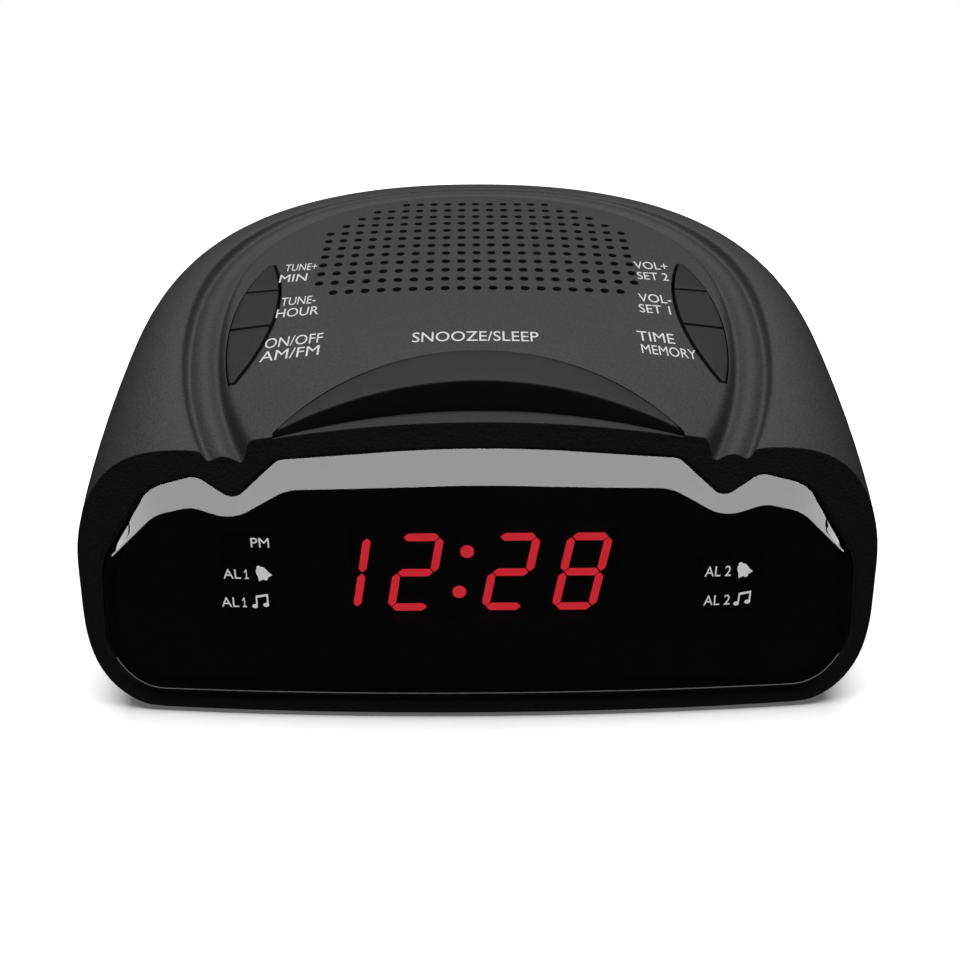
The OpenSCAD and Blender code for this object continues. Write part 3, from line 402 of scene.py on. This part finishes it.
cut(cabinet, block("snooze_room", room_outline(0.3), ledge_height, lambda x, y: 90, 1.5, 3))
cut(cabinet, block("snooze_slot", crescent(0.3), lambda x, y: 44, lambda x, y: 90, 0))

# side key slots: a leaf between two arcs that meet in points
LEAF_REAR = Vector((42.9, FACE_Y + 58.7))
LEAF_FRONT = Vector((45.2, FACE_Y + 18.1))
leaf_middle = (LEAF_REAR + LEAF_FRONT) / 2
leaf_along = (LEAF_REAR - LEAF_FRONT).normalized()
leaf_side = Vector((leaf_along.y, -leaf_along.x))


def leaf_x(y, swell, outer, gap):
    span = (LEAF_REAR - LEAF_FRONT).length / 2
    radius = (span * span + swell * swell) / (2 * swell)
    sign = 1 if outer else -1
    centre = leaf_middle + leaf_side * sign * (swell - radius)
    r = radius + gap
    return centre.x + sign * math.sqrt(max(r * r - (y - centre.y) ** 2, 0))


def leaf_outline(low, high, gap_in, gap_out, side):
    ys = [low + (high - low) * i / 14 for i in range(15)]
    inner = [(side * leaf_x(y, 4.5, False, gap_in), y) for y in ys]
    outer = [(side * max(leaf_x(y, 3.8, True, gap_out), abs(inner[i][0]) + 0.12), y)
             for i, y in enumerate(ys)]
    return inner + outer[::-1]


for side in (-1, 1):
    slot = leaf_outline(LEAF_FRONT.y + 0.9, LEAF_REAR.y - 0.9, 0.5, 0.15, side)
    cut(cabinet, block("key_slot", slot, lambda x, y: 50, lambda x, y: 90, 0))

# speaker grille: rows of small round holes
GRILLE_ROWS = (9, 10, 10, 10, 10, 10, 10, 10, 9, 8, 7, 5)
GRILLE_PITCH = (3.2, 3.8)
GRILLE_HOLE_R = 0.9
GRILLE_FRONT_Y = FACE_Y + 45
clear_selection()
pins = []
for row, count in enumerate(GRILLE_ROWS):
    for i in range(-count, count + 1):
        pins.append((i * GRILLE_PITCH[0] * MM, (GRILLE_FRONT_Y + row * GRILLE_PITCH[1]) * MM))
bpy.ops.mesh.primitive_cylinder_add(vertices=12, radius=GRILLE_HOLE_R * MM, depth=24 * MM, location=(0, 0, 0))
pin = bpy.context.object
drills = []
for x, y in pins:
    drill = pin.copy()
    drill.data = pin.data.copy()
    drill.data.transform(Matrix.Translation((x, y, 72 * MM)))
    drill.location = (0, 0, 0)
    scene.collection.objects.link(drill)
    drills.append(drill)
bpy.data.objects.remove(pin)
clear_selection()
for drill in drills:
    drill.select_set(True)
bpy.context.view_layer.objects.active = drills[0]
bpy.ops.object.join()
cut(cabinet, bpy.context.object)

# window recess and opening
recess = block("recess", grown(window_outline, 0.15), lambda x, y: -6, lambda x, y: 2.2, 2)
cut(cabinet, stand_in_face(recess))
chamfer = loft("chamfer", ((grown(window_outline, 0.1), 0.5), (grown(window_outline, 1.1), -0.5)))
cut(cabinet, stand_in_face(chamfer))
opening = block("opening", grown(window_outline, -2.6), lambda x, y: -6, lambda x, y: 12, 4)
cut(cabinet, stand_in_face(opening))

# seat and hole of the power inlet in the rear wall
INLET_X = -12
INLET_Z = 27
for radius, near, far in ((6.9, 61.0, 81), (5.6, 40, 80)):
    clear_selection()
    bpy.ops.mesh.primitive_cylinder_add(vertices=48, radius=radius * MM, depth=(far - near) * MM,
                                        location=(INLET_X * MM, (near + far) / 2 * MM, INLET_Z * MM),
                                        rotation=(math.pi / 2, 0, 0))
    bpy.ops.object.transform_apply()
    cut(cabinet, bpy.context.object)


def shade(piece, degrees=32):
    clear_selection()
    bpy.context.view_layer.objects.active = piece
    piece.select_set(True)
    bpy.ops.object.shade_smooth_by_angle(angle=math.radians(degrees))


def moulded(name, colour, roughness, grain=0.2, lift=0.35, edge=0.25, gloss=0.5):
    """A moulded plastic: spark-eroded grain, slight sheen changes and softened edges."""
    skin = bpy.data.materials.new(name)
    skin.use_nodes = True
    tree = skin.node_tree
    shader = tree.nodes["Principled BSDF"]
    place = tree.nodes.new("ShaderNodeTexCoord")
    spark = tree.nodes.new("ShaderNodeTexNoise")
    spark.inputs["Scale"].default_value = 1900
    spark.inputs["Detail"].default_value = 3
    rub = tree.nodes.new("ShaderNodeTexNoise")
    rub.inputs["Scale"].default_value = 45
    rub.inputs["Detail"].default_value = 4
    tint = tree.nodes.new("ShaderNodeMix")
    tint.data_type = "RGBA"
    tint.inputs["A"].default_value = (*[c * (1 - grain) for c in colour], 1)
    tint.inputs["B"].default_value = (*[min(c * (1 + grain), 1) for c in colour], 1)
    dull = tree.nodes.new("ShaderNodeMapRange")
    dull.inputs["To Min"].default_value = roughness - 0.05
    dull.inputs["To Max"].default_value = roughness + 0.07
    bump = tree.nodes.new("ShaderNodeBump")
    bump.inputs["Strength"].default_value = lift
    bump.inputs["Distance"].default_value = 0.1 * MM
    links = tree.links
    links.new(place.outputs["Object"], spark.inputs["Vector"])
    links.new(place.outputs["Object"], rub.inputs["Vector"])
    links.new(spark.outputs["Fac"], tint.inputs["Factor"])
    links.new(tint.outputs["Result"], shader.inputs["Base Color"])
    links.new(rub.outputs["Fac"], dull.inputs["Value"])
    links.new(dull.outputs["Result"], shader.inputs["Roughness"])
    links.new(spark.outputs["Fac"], bump.inputs["Height"])
    if edge:
        corner = tree.nodes.new("ShaderNodeBevel")
        corner.samples = 6
        corner.inputs["Radius"].default_value = edge * MM
        links.new(corner.outputs["Normal"], bump.inputs["Normal"])
    links.new(bump.outputs["Normal"], shader.inputs["Normal"])
    shader.inputs["Specular IOR Level"].default_value = gloss
    return skin


shade(cabinet)
cabinet_skin = moulded("textured_charcoal_abs", (0.025, 0.025, 0.0254), 0.55, 0.45, 1.0, 0.35, 0.12)
cabinet.data.materials.clear()
cabinet.data.materials.append(cabinet_skin)
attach(cabinet, "cabinet")
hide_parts("top_shell")

# Display window: one injection-moulded piece of dark smoked acrylic, polished outside. Its upper edge
# falls back in a broad bevel that follows the cabinet's outline; it is welded into the front recess.
BEVEL_HALF = [(33.6, 49.0, 9), (43.6, 43.0, 7), (50.6, 45.4, 6), (57.6, 43.6, 9),
              (68.2, 33.2, 8), (70.3, 14.3, 12.6), (64.7, 5.9, 8.6)]
BEVEL_TOP = (0, 50.1, 200)
bevel_outline = in_face(both_sides(BEVEL_HALF, BEVEL_TOP))
WINDOW_FRONT = -0.72
WINDOW_BACK = 2.19
edge_outline = grown(window_outline, -0.05)
window = loft("display_window_lens", ((edge_outline, WINDOW_BACK), (edge_outline, 0.8),
                                      (bevel_outline, -0.57), (grown(bevel_outline, -0.3), WINDOW_FRONT)))
clear_selection()
bpy.context.view_layer.objects.active = window
window.select_set(True)
bpy.ops.object.shade_smooth()
for edge in window.data.edges:
    start, end = (window.data.vertices[k].co for k in edge.vertices)
    edge.use_edge_sharp = abs(start.z - end.z) < 1e-7 and abs(start.x - end.x) > 1e-7
stand_in_face(window)
acrylic = bpy.data.materials.new("smoked_acrylic")
acrylic.use_nodes = True
acrylic_tree = acrylic.node_tree
acrylic_shader = acrylic_tree.nodes["Principled BSDF"]
acrylic_shader.inputs["Base Color"].default_value = (0.03, 0.03, 0.03, 1)
acrylic_shader.inputs["Transmission Weight"].default_value = 1
acrylic_shader.inputs["IOR"].default_value = 1.49
acrylic_place = acrylic_tree.nodes.new("ShaderNodeTexCoord")
acrylic_haze = acrylic_tree.nodes.new("ShaderNodeTexNoise")
acrylic_haze.inputs["Scale"].default_value = 60
acrylic_haze.inputs["Detail"].default_value = 5
acrylic_range = acrylic_tree.nodes.new("ShaderNodeMapRange")
acrylic_range.inputs["To Min"].default_value = 0.0
acrylic_range.inputs["To Max"].default_value = 0.02
acrylic_tree.links.new(acrylic_place.outputs["Object"], acrylic_haze.inputs["Vector"])
acrylic_tree.links.new(acrylic_haze.outputs["Fac"], acrylic_range.inputs["Value"])
acrylic_tree.links.new(acrylic_range.outputs["Result"], acrylic_shader.inputs["Roughness"])
window.data.materials.append(acrylic)
window_group.objects.link(window)
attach(window, "cabinet")
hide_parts("display_window")

# Window backing: black ink screened on the window's back, with three clear places for the clock digits and
# the two groups of lamps.
def speckled(name, dark, light, scale, roughness, gloss=0.5):
    """A thin film or ink: a fine speckle between two tones."""
    skin = bpy.data.materials.new(name)
    skin.use_nodes = True
    tree = skin.node_tree
    place = tree.nodes.new("ShaderNodeTexCoord")
    grain = tree.nodes.new("ShaderNodeTexNoise")
    grain.inputs["Scale"].default_value = scale
    tone = tree.nodes.new("ShaderNodeMix")
    tone.data_type = "RGBA"
    tone.inputs["A"].default_value = (*dark, 1)
    tone.inputs["B"].default_value = (*light, 1)
    tree.links.new(place.outputs["Object"], grain.inputs["Vector"])
    tree.links.new(grain.outputs["Fac"], tone.inputs["Factor"])
    tree.links.new(tone.outputs["Result"], tree.nodes["Principled BSDF"].inputs["Base Color"])
    tree.nodes["Principled BSDF"].inputs["Roughness"].default_value = roughness
    tree.nodes["Principled BSDF"].inputs["Specular IOR Level"].default_value = gloss
    return skin


INK_FRONT = 2.22
INK_BACK = 2.3
ink_outline = grown(window_outline, -0.4)
backing = block("window_back_ink", ink_outline, lambda x, y: INK_FRONT, lambda x, y: INK_BACK, 2)
LAMP_PLACES = {"left": (-46.8, -37.5, 22.1, 39.4), "right": (39.9, 52.1, 21.9, 34.2)}
for left, right, low, high in ((-23.4, 25.4, 21.9, 40.2), *LAMP_PLACES.values()):
    clear_place = in_face([(left, low), (right, low), (right, high), (left, high)])
    cut(backing, block("clear_place", clear_place, lambda x, y: 1, lambda x, y: 4, 0))
stand_in_face(backing)
back_ink = speckled("black_screen_ink", (0.002, 0.002, 0.002), (0.004, 0.004, 0.004), 1500, 0.8, 0)
backing.data.materials.append(back_ink)
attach(backing, "cabinet")

# Lamp screens: a thin smoke-grey film in the clear place in front of each group of lamps, which hides the
# lamps until they light.
film_skin = speckled("smoke_grey_film", (0.16, 0.16, 0.18), (0.22, 0.22, 0.25), 900, 0.7, 0)
for side, (left, right, low, high) in LAMP_PLACES.items():
    plate = in_face([(left + 0.02, low + 0.02), (right - 0.02, low + 0.02),
                     (right - 0.02, high - 0.02), (left + 0.02, high - 0.02)])
    screen = block("lamp_screen_" + side, plate, lambda x, y: INK_FRONT, lambda x, y: INK_BACK, 2)
    stand_in_face(screen)
    screen.data.materials.append(film_skin)
    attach(screen, "cabinet")

# Snooze bar: a satin ABS crescent between two arcs, sitting a hair above the panel. It is moulded with a
# rounded rim, drops a tall dark wall to the shelf in front of it, and presses straight down.
snooze = block("snooze_crescent", crescent(0), lambda x, y: 55.3,
               lambda x, y: 60.7 + 0.2345 * (y - FACE_Y) - x * x / 436, 1.5, 2.5, 0.35)
shade(snooze)
satin_skin = moulded("satin_charcoal_abs", (0.015, 0.015, 0.0152), 0.48, 0.15, 0.3, 0.2, 0.07)
snooze.data.materials.append(satin_skin)
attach(snooze, "snooze_body")
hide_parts("snooze_bar")

# Side keys: three satin ABS caps a side, cut from one leaf shape. Each stands a little above the panel with
# rounded edges, and its post presses a small switch on the board beneath.
KEY_CUTS = (FACE_Y + 35, FACE_Y + 47)
KEY_BANDS = {"up": (KEY_CUTS[1] + 0.3, LEAF_REAR.y - 1.2), "down": (KEY_CUTS[0] + 0.3, KEY_CUTS[1] - 0.3),
             "low": (LEAF_FRONT.y + 1.2, KEY_CUTS[0] - 0.3)}
SIDE_KEYS = {"tune_up": (-1, "up"), "tune_down": (-1, "down"), "power": (-1, "low"),
             "volume_up": (1, "up"), "volume_down": (1, "down"), "time": (1, "low")}
KEY_POSTS = {"up": (43.2, LEAF_REAR.y - 6.2), "down": (43.6, KEY_CUTS[0] + 6),
             "low": (44.0, LEAF_FRONT.y + 9.8)}
POST_LOW = 52.5
POST_HIGH = 56.9
for name, (side, band) in SIDE_KEYS.items():
    low, high = KEY_BANDS[band]
    post_x, post_y = KEY_POSTS[band]
    cap = block("cap_" + name, leaf_outline(low, high, -0.15, -0.15, side), lambda x, y: 53.5,
                lambda x, y: panel_height(x, y - FACE_Y) + 0.25, 1.5, 1.5, 0.18)
    clear_selection()
    post_middle = Vector((side * post_x, post_y, (POST_LOW + POST_HIGH) / 2)) * MM
    bpy.ops.mesh.primitive_cylinder_add(vertices=24, radius=1.3 * MM, depth=(POST_HIGH - POST_LOW) * MM,
                                        location=post_middle)
    post = bpy.context.object
    bpy.ops.object.transform_apply()
    cut(cap, post, "UNION")
    shade(cap)
    cap.data.materials.clear()
    cap.data.materials.append(satin_skin)
    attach(cap, "key_" + name + "_body")
    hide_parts("key_" + name)

# Key legends: pale grey pad printing on the panel, in a plain upright face.
print_ink = speckled("pale_pad_print", (0.3, 0.3, 0.3), (0.46, 0.46, 0.46), 2500, 0.6)


def lettering(name, words, left, right, height):
    """Words as a thin raised film, scaled to run from left to right and to the height given."""
    clear_selection()
    bpy.ops.object.text_add()
    word = bpy.context.object
    word.name = name
    word.data.body = words
    word.data.extrude = 0.02
    word.data.resolution_u = 4
    bpy.ops.object.convert(target="MESH")
    xs = [v.co.x for v in word.data.vertices]
    ys = [v.co.y for v in word.data.vertices]
    for v in word.data.vertices:
        v.co = (left + (v.co.x - min(xs)) / (max(xs) - min(xs)) * (right - left),
                (v.co.y - min(ys)) / (max(ys) - min(ys)) * height, 0.03 if v.co.z > 0 else 0)
    bpy.ops.object.mode_set(mode="EDIT")
    bpy.ops.mesh.select_all(action="SELECT")
    bpy.ops.mesh.remove_doubles(threshold=0.0001)
    bpy.ops.object.mode_set(mode="OBJECT")
    return word


def join_as(name, parts):
    clear_selection()
    for p in parts:
        p.select_set(True)
    bpy.context.view_layer.objects.active = parts[0]
    bpy.ops.object.join()
    parts[0].name = name
    return parts[0]


# each line of a legend: words, left, right, near depth behind the face, letter height along the panel
LEGENDS = {
    "legend_tune_up": (("TUNE+", -39.8, -33.2, 54.6, 2.9), ("MIN", -40.4, -34.8, 50.2, 3.0)),
    "legend_tune_down": (("TUNE-", -38.9, -32.0, 41.4, 2.8), ("HOUR", -39.3, -31.0, 37.4, 2.9)),
    "legend_power": (("ON/OFF", -40.2, -29.2, 28.0, 3.0), ("AM/FM", -40.6, -29.5, 24.2, 3.0)),
    "legend_volume_up": (("VOL+", 32.9, 39.9, 54.6, 3.2), ("SET 2", 33.0, 39.4, 50.2, 3.0)),
    "legend_volume_down": (("VOL-", 32.2, 38.7, 41.6, 3.0), ("SET 1", 31.8, 38.0, 37.8, 2.9)),
    "legend_time": (("TIME", 30.3, 37.4, 28.4, 3.0), ("MEMORY", 30.6, 41.0, 24.5, 2.8)),
    "legend_snooze": (("SNOOZE/SLEEP", -12.2, 11.4, 25.8, 3.2),),
}
for name, lines in LEGENDS.items():
    parts = []
    for words, left, right, depth, height in lines:
        word = lettering(name, words, left, right, height)
        for v in word.data.vertices:
            x, y = v.co.x, FACE_Y + depth + v.co.y
            v.co = (x * MM, y * MM, (panel_height(x, y - FACE_Y) + 0.005 + v.co.z) * MM)
        parts.append(word)
    legend = join_as(name, parts)
    legend.data.materials.append(print_ink)
    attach(legend, "cabinet")

# Window printing: an afternoon mark, and two alarm marks a side, each with a bell or a note beside it. All
# are pad printed in white on the window's front, and the white print carries a painted glow.
def on_window(form):
    """Moves a film drawn flat as (x, height over the table, lift) onto the window's front."""
    for v in form.data.vertices:
        v.co = (v.co.x * MM, (v.co.y - WAIST) * MM, (WINDOW_FRONT - 0.01 - v.co.z) * MM)
    return stand_in_face(form)


def bell_shape(x, z, w, h):
    side = [(0.0, 1.0), (0.1, 0.97), (0.14, 0.88), (0.28, 0.78), (0.35, 0.6), (0.38, 0.38), (0.47, 0.22),
            (0.47, 0.14), (0.15, 0.14), (0.09, 0.02)]
    flat = [(s * a * w, (b - 0.5) * h) for s, pts in ((1, side), (-1, side[::-1])) for a, b in pts
            if not (s < 0 and a == 0.0)]
    lean = math.radians(27)
    return [(x + w / 2 + a * math.cos(lean) - b * math.sin(lean),
             z + h / 2 + a * math.sin(lean) + b * math.cos(lean)) for a, b in flat]


def note_shape(x, z, w, h):
    stem = [(0.24, 0.2), (0.34, 0.25), (0.34, 0.72), (0.9, 0.84), (0.9, 0.3), (1.0, 0.22), (1.0, 1.0),
            (0.26, 0.86)]
    return [(x + a * w, z + b * h) for a, b in stem]


def disc_shape(x, z, r, n=14):
    turns = [2 * math.pi * i / n for i in range(n)]
    return [(x + r * math.cos(t), z + 0.8 * r * math.sin(t)) for t in turns]


def film(name, outline):
    clear_selection()
    bpy.ops.mesh.primitive_circle_add(vertices=len(outline), radius=1, fill_type="NGON")
    form = bpy.context.object
    form.name = name
    for v, (x, y) in zip(form.data.vertices, outline):
        v.co = (x, y, 0)
    bpy.ops.object.mode_set(mode="EDIT")
    bpy.ops.mesh.select_all(action="SELECT")
    bpy.ops.mesh.extrude_region_move(TRANSFORM_OT_translate={"value": (0, 0, 0.03)})
    bpy.ops.object.mode_set(mode="OBJECT")
    return form


def figure_one(x, z, w, h):
    flag = [(0.0, 0.76), (0.42, 1.0), (0.66, 1.0), (0.66, 0.12), (1.0, 0.12), (1.0, 0.0), (0.06, 0.0),
            (0.06, 0.12), (0.42, 0.12), (0.42, 0.8), (0.08, 0.64)]
    return [(x + a * w, z + b * h) for a, b in flag]


def printed_word(words, left, right, low, high):
    """A word between left and right; a last figure 1 is drawn with its flag and foot."""
    one = 0.17 * (right - left) if words.endswith("1") else 0
    word = lettering("word", words.rstrip("1"), left, right - 1.8 * one, high - low)
    for v in word.data.vertices:
        v.co.y += low
    if not one:
        return word
    return join_as("word", [word, film("one", figure_one(right - one, low, one, high - low))])


window_ink_with_painted_glow = speckled("white_pad_print_painted_glow", (0.7, 0.7, 0.7), (0.9, 0.9, 0.9), 2500, 0.6)
ink_shader = window_ink_with_painted_glow.node_tree.nodes["Principled BSDF"]
ink_tone = window_ink_with_painted_glow.node_tree.nodes["Mix"]
# painted glow: the white print gives off a faint light of its own, so that it reads bright on the unlit front
window_ink_with_painted_glow.node_tree.links.new(ink_tone.outputs["Result"], ink_shader.inputs["Emission Color"])
ink_shader.inputs["Emission Strength"].default_value = 0.45

# each mark: words with left, right, low and high, then the bell or note beside them with left, low, width
# and height
MARKS = {
    "mark_afternoon": (("PM", -40.7, -37.4, 37.3, 39.2), None, None),
    "mark_left_bell": (("AL 1", -46.3, -41.7, 30.8, 32.7), "bell", (-40.6, 30.4, 2.9, 3.3)),
    "mark_left_note": (("AL 1", -47.2, -42.6, 24.8, 26.8), "note", (-41.6, 24.7, 3.1, 3.0)),
    "mark_right_bell": (("AL 2", 41.0, 45.8, 30.7, 32.8), "bell", (46.6, 30.2, 2.9, 3.4)),
    "mark_right_note": (("AL 2", 41.3, 46.2, 24.6, 26.7), "note", (46.9, 24.4, 3.1, 3.0)),
}
for name, (words, sign, place) in MARKS.items():
    parts = [printed_word(*words)]
    if sign == "bell":
        parts.append(film("bell", bell_shape(*place)))
    if sign == "note":
        x, z, w, h = place
        parts.append(film("note", note_shape(*place)))
        parts.append(film("head", disc_shape(x + 0.17 * w, z + 0.12 * h, 0.17 * w)))
        parts.append(film("head", disc_shape(x + 0.83 * w, z + 0.22 * h, 0.17 * w)))
    mark = on_window(join_as(name, parts))
    mark.data.materials.append(window_ink_with_painted_glow)
    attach(mark, "cabinet")

# Clock module: seven-segment bars moulded in red resin in a black case. The lit bars glow evenly; the unlit
# ones are only just darker than the case.
def dress(nodes, skin):
    """Gives CAD nodes a finish; their shapes stay as they are."""
    for node in nodes:
        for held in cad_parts[node].material_slots:
            held.material = skin


def finish(name, colour, roughness, metal=0.0, scale=400, change=0.15, lift=0.1, detail="noise", gloss=0.5):
    """A surface with its own fine pattern: cast grain, brushed lines or wound turns."""
    skin = bpy.data.materials.new(name)
    skin.use_nodes = True
    tree = skin.node_tree
    shader = tree.nodes["Principled BSDF"]
    place = tree.nodes.new("ShaderNodeTexCoord")
    if detail == "noise":
        grain = tree.nodes.new("ShaderNodeTexNoise")
        grain.inputs["Detail"].default_value = 4
    else:
        grain = tree.nodes.new("ShaderNodeTexWave")
        grain.bands_direction = detail
        grain.inputs["Distortion"].default_value = 0.6
    reading = grain.outputs["Fac"]
    grain.inputs["Scale"].default_value = scale
    tint = tree.nodes.new("ShaderNodeMix")
    tint.data_type = "RGBA"
    tint.inputs["A"].default_value = (*[c * (1 - change) for c in colour], 1)
    tint.inputs["B"].default_value = (*[min(c * (1 + change), 1) for c in colour], 1)
    dull = tree.nodes.new("ShaderNodeMapRange")
    dull.inputs["To Min"].default_value = max(roughness - 0.08, 0.02)
    dull.inputs["To Max"].default_value = roughness + 0.08
    bump = tree.nodes.new("ShaderNodeBump")
    bump.inputs["Strength"].default_value = lift
    bump.inputs["Distance"].default_value = 0.08 * MM
    tree.links.new(place.outputs["Object"], grain.inputs["Vector"])
    tree.links.new(reading, tint.inputs["Factor"])
    tree.links.new(reading, dull.inputs["Value"])
    tree.links.new(reading, bump.inputs["Height"])
    tree.links.new(tint.outputs["Result"], shader.inputs["Base Color"])
    tree.links.new(dull.outputs["Result"], shader.inputs["Roughness"])
    tree.links.new(bump.outputs["Normal"], shader.inputs["Normal"])
    shader.inputs["Metallic"].default_value = metal
    shader.inputs["Specular IOR Level"].default_value = gloss
    return skin


glow = finish("lit_red_resin", (0.6, 0.02, 0.03), 0.4, 0, 900, 0.06, 0.02)
glow_shader = glow.node_tree.nodes["Principled BSDF"]
glow_shader.inputs["Emission Color"].default_value = (0.62, 0.022, 0.035, 1)
glow_shader.inputs["Emission Strength"].default_value = 30
dress(["lit_segments"], glow)
dress(["dark_segments"], finish("unlit_red_resin", (0.008, 0.002, 0.002), 0.5, 0, 900, 0.1, 0.05))
dress(["led_module"], finish("black_display_case", (0.02, 0.02, 0.021), 0.5, 0, 500, 0.2, 0.1, gloss=0.1))
dress(["light_mask"], finish("matt_black_mask", (0.012, 0.012, 0.013), 0.7, 0, 700, 0.2, 0.2, gloss=0.1))
dress(["indicator_leds"], finish("clear_lamp_resin", (0.5, 0.5, 0.48), 0.25, 0, 300, 0.05, 0.02))

# Loudspeaker: a plated steel basket, a ferrite magnet, a black pulp cone with its cap, and a thin dust cloth
# stretched under the grille.
dress(["speaker_basket"], finish("plated_basket_steel", (0.45, 0.45, 0.46), 0.35, 1, 60, 0.12, 0.1))
dress(["speaker_magnet"], finish("ground_ferrite", (0.05, 0.05, 0.055), 0.6, 0.2, 300, 0.25, 0.3))
dress(["speaker_cone", "speaker_dust_cap"],
      finish("pressed_black_pulp", (0.02, 0.02, 0.02), 0.9, 0, 1200, 0.4, 0.6))
cloth_low, cloth_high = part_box("speaker_cloth")
cloth_middle = (cloth_low + cloth_high) / 2
CLOTH_R = 24.2
CLOTH_TILT = math.radians(7.4)
clear_selection()
bpy.ops.mesh.primitive_circle_add(vertices=64, radius=CLOTH_R * MM, fill_type="TRIFAN")
cloth = bpy.context.object
cloth.name = "speaker_dust_cloth"
bpy.ops.object.mode_set(mode="EDIT")
bpy.ops.mesh.select_all(action="SELECT")
bpy.ops.mesh.subdivide(number_cuts=5)
bpy.ops.object.mode_set(mode="OBJECT")
for v in cloth.data.vertices:
    r = math.hypot(v.co.x, v.co.y) / MM / CLOTH_R
    v.co.z = -0.12 * MM * (1 - r * r)
cloth.data.transform(Matrix.Translation(cloth_middle) @ Matrix.Rotation(CLOTH_TILT, 4, "X"))
thick = cloth.modifiers.new("thickness", "SOLIDIFY")
thick.thickness = 0.2 * MM
thick.offset = 0
apply_all(cloth)
shade(cloth, 40)
weave = finish("black_dust_cloth", (0.006, 0.006, 0.006), 0.95, 0, 1100, 0.5, 0.5, "X", 0.1)
cloth.data.materials.append(weave)
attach(cloth, "cabinet")
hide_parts("speaker_cloth")

# Base moulding and its battery door: the same charcoal ABS, a little darker, screwed up from below. The door
# slides towards the rear on two tongues.
base_skin = moulded("base_charcoal_abs", (0.013, 0.013, 0.0132), 0.6, 0.25, 0.4, 0.2, 0.2)
dress(["base_shell", "battery_door"], base_skin)
dress(["foot_front_left", "foot_front_right", "foot_rear_left", "foot_rear_right"],
      finish("foot_rubber", (0.015, 0.015, 0.015), 0.85, 0, 500, 0.2, 0.4))

# Circuit boards: green lacquered laminate with a faint copper pattern beneath.
board = finish("green_lacquered_board", (0.02, 0.12, 0.045), 0.35, 0, 180, 0.35, 0.15)
dress(["display_board", "main_board", "key_board_left", "key_board_right", "snooze_board"], board)

# Switches, stems and parts on the boards.
dress(["switches_left", "switches_right", "switch_snooze"],
      finish("switch_black_nylon", (0.02, 0.02, 0.02), 0.45, 0, 600, 0.2, 0.1))
dress([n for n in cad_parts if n.startswith("stem_")],
      finish("ivory_acetal", (0.62, 0.6, 0.53), 0.4, 0, 400, 0.06, 0.05))
dress(["clock_chip", "radio_chip"], finish("chip_epoxy", (0.015, 0.015, 0.016), 0.55, 0, 900, 0.3, 0.2))
dress(["capacitors"], finish("capacitor_sleeve", (0.015, 0.025, 0.11), 0.25, 0, 200, 0.12, 0.05))
dress(["crystal", "jack_nut", "cell_contacts", "cell_springs", "case_screws", "board_screws",
       "speaker_screws"],
      finish("plated_steel", (0.58, 0.58, 0.58), 0.28, 1, 250, 0.1, 0.1))

# Aerial: a sintered ferrite rod in two nylon clips, wound with enamelled copper wire.
dress(["ferrite_rod"], finish("sintered_ferrite", (0.05, 0.047, 0.046), 0.65, 0, 500, 0.25, 0.25))
dress(["antenna_coil"], finish("enamelled_copper", (0.5, 0.19, 0.07), 0.25, 0.9, 500, 0.3, 0.8, "X"))
dress(["rod_clip_left", "rod_clip_right"],
      finish("natural_nylon", (0.7, 0.69, 0.64), 0.5, 0, 300, 0.06, 0.08))

# Power, backup cells and wiring.
dress(["dc_jack"], finish("jack_nylon", (0.012, 0.012, 0.012), 0.5, 0, 500, 0.2, 0.1))
dress(["cell_front", "cell_rear"], finish("blue_cell_sleeve", (0.03, 0.1, 0.32), 0.3, 0.1, 120, 0.15, 0.03))
dress(["ribbon_cable"], finish("grey_ribbon", (0.42, 0.42, 0.44), 0.5, 0, 780, 0.2, 0.5, "X"))
dress(["speaker_leads"], finish("red_lead_pvc", (0.45, 0.03, 0.03), 0.45, 0, 300, 0.1, 0.05))

bpy.context.view_layer.update()
